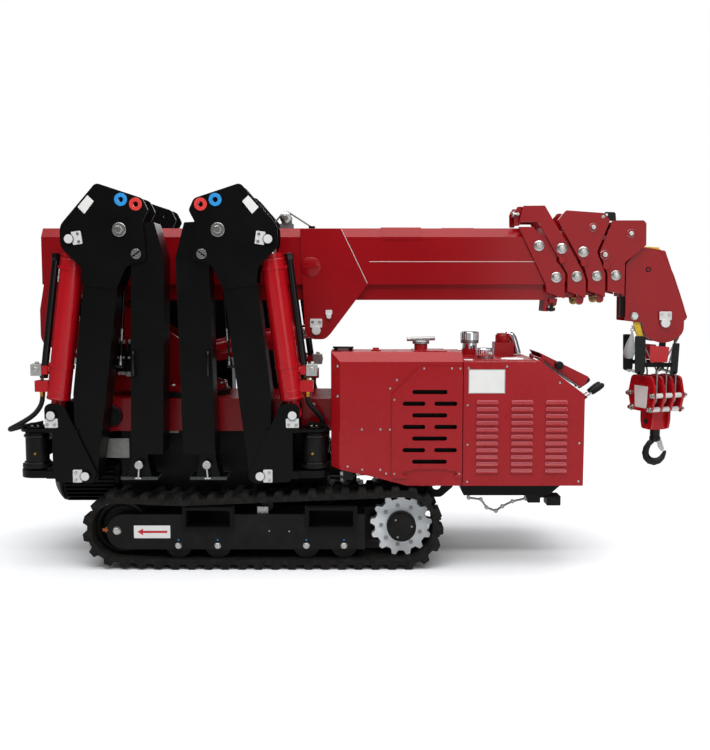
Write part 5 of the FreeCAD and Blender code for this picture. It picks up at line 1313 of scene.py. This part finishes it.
# Boom head
on_sides("head_keepers", lambda bm: t_keeper(bm, (2202.0, 1059.0), 90.0, -83.0), KEEPER, "boom_5", 1.0)
fasteners("head_keeper_screws", HEX, both([(2186, -91.2, 1099, LEFT), (2218, -91.2, 1099, LEFT)]), ZINC,
          "boom_5", KEEPER_SCREW)
fasteners("head_bolts", HEX, both([(2061, -80.8, 1091, LEFT)]), ZINC, "boom_5", 1.7)
on_sides("head_holes", lambda bm: ring(bm, (2121, 0, 1303), RIGHT, 7.5, 12, -76.6, -74.8), BLACK, "boom_5")
on_sides("head_edges", lambda bm: swept(bm, [(2086, -73, 1401), (2196, -73, 1388.5), (2306, -73, 1086),
                                             (2293, -73, 1072)], 3.0, 8, 2), BOOM_RED, "boom_5")
HEAD_GUARD = [(2071, 1398), (2176, 1392), (2178, 1404), (2073, 1410)]
one("head_guard", lambda bm: prism(bm, HEAD_GUARD, -50, 50), YELLOW, "boom_5", 2.0)
bm = bmesh.new()
box(bm, (2084, 2180), (-64, 64), (1384, 1394))
box(bm, (2004, 2026), (-64, 64), (1180, 1206))
piece("head_bridge", bm, BOOM_RED, "boom_5", 1.5)
one("limit_switch", lambda bm: box(bm, (2003, 2030), (-62, -30), (1086, 1196)), BLACK, "boom_5", 2.0)
bm = bmesh.new()
prism(bm, rounded_outline([(2062, 1064), (2092, 1064), (2110, 1000), (2082, 996)], 4), -64, -52)
piece("rope_guard", bm, YELLOW, "boom_5", 1.0)

# The hoist limit's weight hangs from the head, so it swings with the block.
bm = bmesh.new()
lathe(bm, (2047, -103, 1010), (-0.14, 0, -1), [(0, 0), (7, 0), (10, 14), (20, 48), (26, 78), (24, 98),
                                               (14, 112), (0, 114)], 28)
bar(bm, (2047, -103, 1004), (2047, -103, 1022), 4)
piece("limit_weight", bm, HOOK_GREY, "hanging_block")
bm = bmesh.new()
for i in range(3):
    z = 1018 + i * 12
    link(bm, (2047, -103, z), RIGHT if i % 2 else BACK, 7, 2.2)
piece("weight_chain", bm, ZINC, "hanging_block")

# Hook block: white spacer tubes between the red cheeks, its clevis and the blank plate
YAW = math.radians(20.0)
HOOK_X, BLOCK_MID = 2197.0, 725.5


def swung(bm):
    """Turns what bm holds by the block's yaw about the hook's line."""
    bmesh.ops.rotate(bm, cent=(HOOK_X, 0, 0), matrix=Matrix.Rotation(YAW, 3, "Z"), verts=bm.verts)


STEP, CHEEK = 52.0, 12.0        # from one cheek to the next, and a cheek's thickness
FIRST = HOOK_X - (3 * STEP + CHEEK) / 2
SPACERS = ((84.0, BLOCK_MID), (66.0, BLOCK_MID - 66.0))
tubes, bolts, rims, plates = (bmesh.new() for _ in range(4))
for i in range(3):
    x0 = FIRST + i * STEP + CHEEK
    for y, z in SPACERS:
        for side in (-1, 1):
            bar(tubes, (x0 + 0.4, side * y, z), (x0 + STEP - CHEEK - 0.4, side * y, z), 11.5)
    middle = x0 + (STEP - CHEEK) / 2
    lathe(rims, (middle - 10, 0, BLOCK_MID), BACK, [(0, 0), (67, 0), (70, 1.5), (70, 4), (65.8, 9),
                                                    (65.8, 11), (70, 16), (70, 18.5), (67, 20), (0, 20)],
          56)
for y, z in SPACERS:
    for side in (-1, 1):
        for x, axis in ((FIRST - 0.5, FRONT), (HOOK_X + (3 * STEP + CHEEK) / 2 + 0.5, BACK)):
            lathe(bolts, (x, side * y, z), axis, [(0, 0), (16, 0), (16, 3), (12, 3), (12, 12), (8, 13),
                                                  (8, 20), (0, 20)], 12)
for x in (FIRST - 1.2, FIRST + 3 * STEP + CHEEK + 0.2):
    prism(plates, rounded_outline([(-42, BLOCK_MID - 62), (42, BLOCK_MID - 62), (50, BLOCK_MID + 40),
                                   (-50, BLOCK_MID + 40)], 6), x, x + 1.0, "x")
for name, bm, material in (("block_spacers", tubes, KEEPER), ("block_bolts", bolts, ZINC),
                                        ("block_sheaves", rims, STEEL), ("block_plates", plates, WHITE)):
    swung(bm)
    piece(name, bm, material, "hanging_block")
bm = bmesh.new()
for x in (HOOK_X - 52, HOOK_X + 40):
    prism(bm, rounded_outline([(-34, 560), (34, 560), (44, 600), (44, 668), (-44, 668), (-44, 600)], 12),
          x, x + 12, "x")
swung(bm)
piece("block_clevis", bm, TUBE_RED, "hanging_block", 1.2)
bm = bmesh.new()
bar(bm, (HOOK_X - 58, 0, 596), (HOOK_X + 58, 0, 596), 12)
swung(bm)
piece("block_pin", bm, CAST, "hanging_block")

# The bars that guide the block up to the head, and the striker plate between them.
guides, striker, yoke = (bmesh.new() for _ in range(3))
for sign in (-1, 1):
    y0, y1 = sorted((sign * 92.0, sign * 98.0))
    prism(guides, rounded_outline([(2066, 832), (2100, 816), (2112, 836), (2112, 985), (2096, 1000),
                                   (2062, 1000)], 6), y0, y1)
    prism(guides, rounded_outline([(2226, 816), (2262, 830), (2268, 968), (2236, 968)], 6), y0, y1)
    prism(striker, rounded_outline([(2134, 880), (2214, 880), (2222, 950), (2132, 958)], 4), y0 + 1.5,
          y1 - 1.5)
    box(yoke, (2110, 2236), (y0 - 3, y1 + 3), (858, 878))
piece("block_guides", guides, GREEN_BLACK, "hanging_block", 1.5)
piece("block_strikers", striker, TUBE_RED, "hanging_block", 1.0)
piece("block_yokes", yoke, BLACK, "hanging_block", 2.0)
bm = bmesh.new()
for x in (2085, 2247):
    bar(bm, (x, -98, 832), (x, 98, 832), 7)
piece("guide_rods", bm, ZINC, "hanging_block")

# The hook: its safety latch and the thrust collar.
latch = bmesh.new()
prism(latch, rounded_outline([(HOOK_X + 4, 522), (HOOK_X + 22, 528), (HOOK_X + 44, 462),
                              (HOOK_X + 32, 452), (HOOK_X + 18, 470)], 5), -9, 9)
bar(latch, (HOOK_X + 12, -14, 520), (HOOK_X + 12, 14, 520), 6)
piece("hook_latch", latch, ZINC, "hook", 1.2)
NUT = [(0, 0), (23.5, 0), (25, 3), (25, 16), (22, 22), (23, 30), (23, 52), (0, 52)]
one("hook_nut", lambda bm: lathe(bm, (HOOK_X, 0, 503), UP, NUT, 32), CAST, "hook")


# Stage
def flat(name, size, z, material):
    """A level square of the stage."""
    mesh = bpy.data.meshes.new(name)
    mesh.from_pydata([(-size, -size, z), (size, -size, z), (size, size, z), (-size, size, z)], [],
                     [(0, 1, 2, 3)])
    obj = linked(name, mesh)
    mesh.materials.append(material)


floor_paint = bpy.data.materials.new("matt white studio floor")
floor_paint.use_nodes = True
tree = floor_paint.node_tree
tree.nodes.clear()
rays = add(tree, "ShaderNodeLightPath")
spot = add(tree, "ShaderNodeTexCoord")
reach = add(tree, "ShaderNodeVectorMath", {"operation": "LENGTH"}, {0: spot.outputs["Object"]})
FADE = (1.7, 3.4)       # metres from the origin where the floor starts and ends turning into the backdrop
far = add(tree, "ShaderNodeMapRange", {"interpolation_type": "SMOOTHSTEP", "From Min": FADE[0],
                                       "From Max": FADE[1]}, {"Value": reach.outputs["Value"]})
seen = add(tree, "ShaderNodeMath", {"operation": "MULTIPLY"},
           {0: far.outputs[0], 1: rays.outputs["Is Camera Ray"]})
FLOOR_WHITE, FLOOR_BOUNCE = 1.08, 0.75      # the floor as the camera and as the object's light sees it
tone = add(tree, "ShaderNodeMix", {"data_type": "RGBA"}, {0: rays.outputs["Is Camera Ray"]})
tone.inputs[6].default_value = (FLOOR_BOUNCE,) * 3 + (1.0,)
tone.inputs[7].default_value = (FLOOR_WHITE,) * 3 + (1.0,)
matt = add(tree, "ShaderNodeBsdfDiffuse", {}, {"Color": tone.outputs[2]})
sky = add(tree, "ShaderNodeEmission", {"Color": (1, 1, 1, 1), "Strength": 1.0})
mixed = add(tree, "ShaderNodeMixShader", {}, {0: seen.outputs[0], 1: matt.outputs[0], 2: sky.outputs[0]})
add(tree, "ShaderNodeOutputMaterial", {}, {0: mixed.outputs[0]})
flat("studio_floor", 40.0, -0.0005, floor_paint)

world = bpy.data.worlds.new("studio")
bpy.context.scene.world = world
world.use_nodes = True
tree = world.node_tree
tree.nodes.clear()
rays = add(tree, "ShaderNodeLightPath")
seen = add(tree, "ShaderNodeMath", {"operation": "MAXIMUM"},
           {0: rays.outputs["Is Camera Ray"], 1: rays.outputs["Is Transmission Ray"]})
heading = add(tree, "ShaderNodeTexCoord")
height = add(tree, "ShaderNodeSeparateXYZ", {}, {0: heading.outputs["Generated"]})
ceiling = add(tree, "ShaderNodeMapRange", {"interpolation_type": "SMOOTHSTEP", "From Min": 0.25,
                                           "From Max": 0.8, "To Min": 0.12, "To Max": 0.9},
              {"Value": height.outputs[2]})
soft = add(tree, "ShaderNodeBackground", {"Color": colour("F4F6FA")}, {"Strength": ceiling.outputs[0]})
white = add(tree, "ShaderNodeBackground", {"Color": (1, 1, 1, 1), "Strength": 1.0})
mixed = add(tree, "ShaderNodeMixShader", {}, {0: seen.outputs[0], 1: soft.outputs[0], 2: white.outputs[0]})
add(tree, "ShaderNodeOutputWorld", {}, {0: mixed.outputs[0]})


def softbox(name, where, aim, size, power):
    """A rectangular lamp that faces a point; lengths in metres, power in watts."""
    lamp = bpy.data.lights.new(name, "AREA")
    lamp.shape = "RECTANGLE"
    lamp.size, lamp.size_y = size
    lamp.energy = power
    obj = linked(name, lamp)
    obj.location = where
    obj.rotation_euler = (Vector(aim) - Vector(where)).to_track_quat("-Z", "Y").to_euler()


softbox("overhead", (0.2, -0.2, 4.6), (0, 0, 0.8), (5.0, 3.0), 112)
softbox("key strip", (0.0, -3.4, 4.2), (0, 0, 0.9), (6.0, 0.7), 92)
softbox("fill", (2.6, -5.2, 1.8), (0, 0, 0.8), (2.6, 2.6), 26)
softbox("rim", (0.5, 4.2, 3.0), (0, 0, 1.0), (4.0, 2.0), 60)

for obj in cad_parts.values():
    softened(obj)

for part in (HEX, BUTTON, WASHER):
    bpy.data.objects.remove(part)
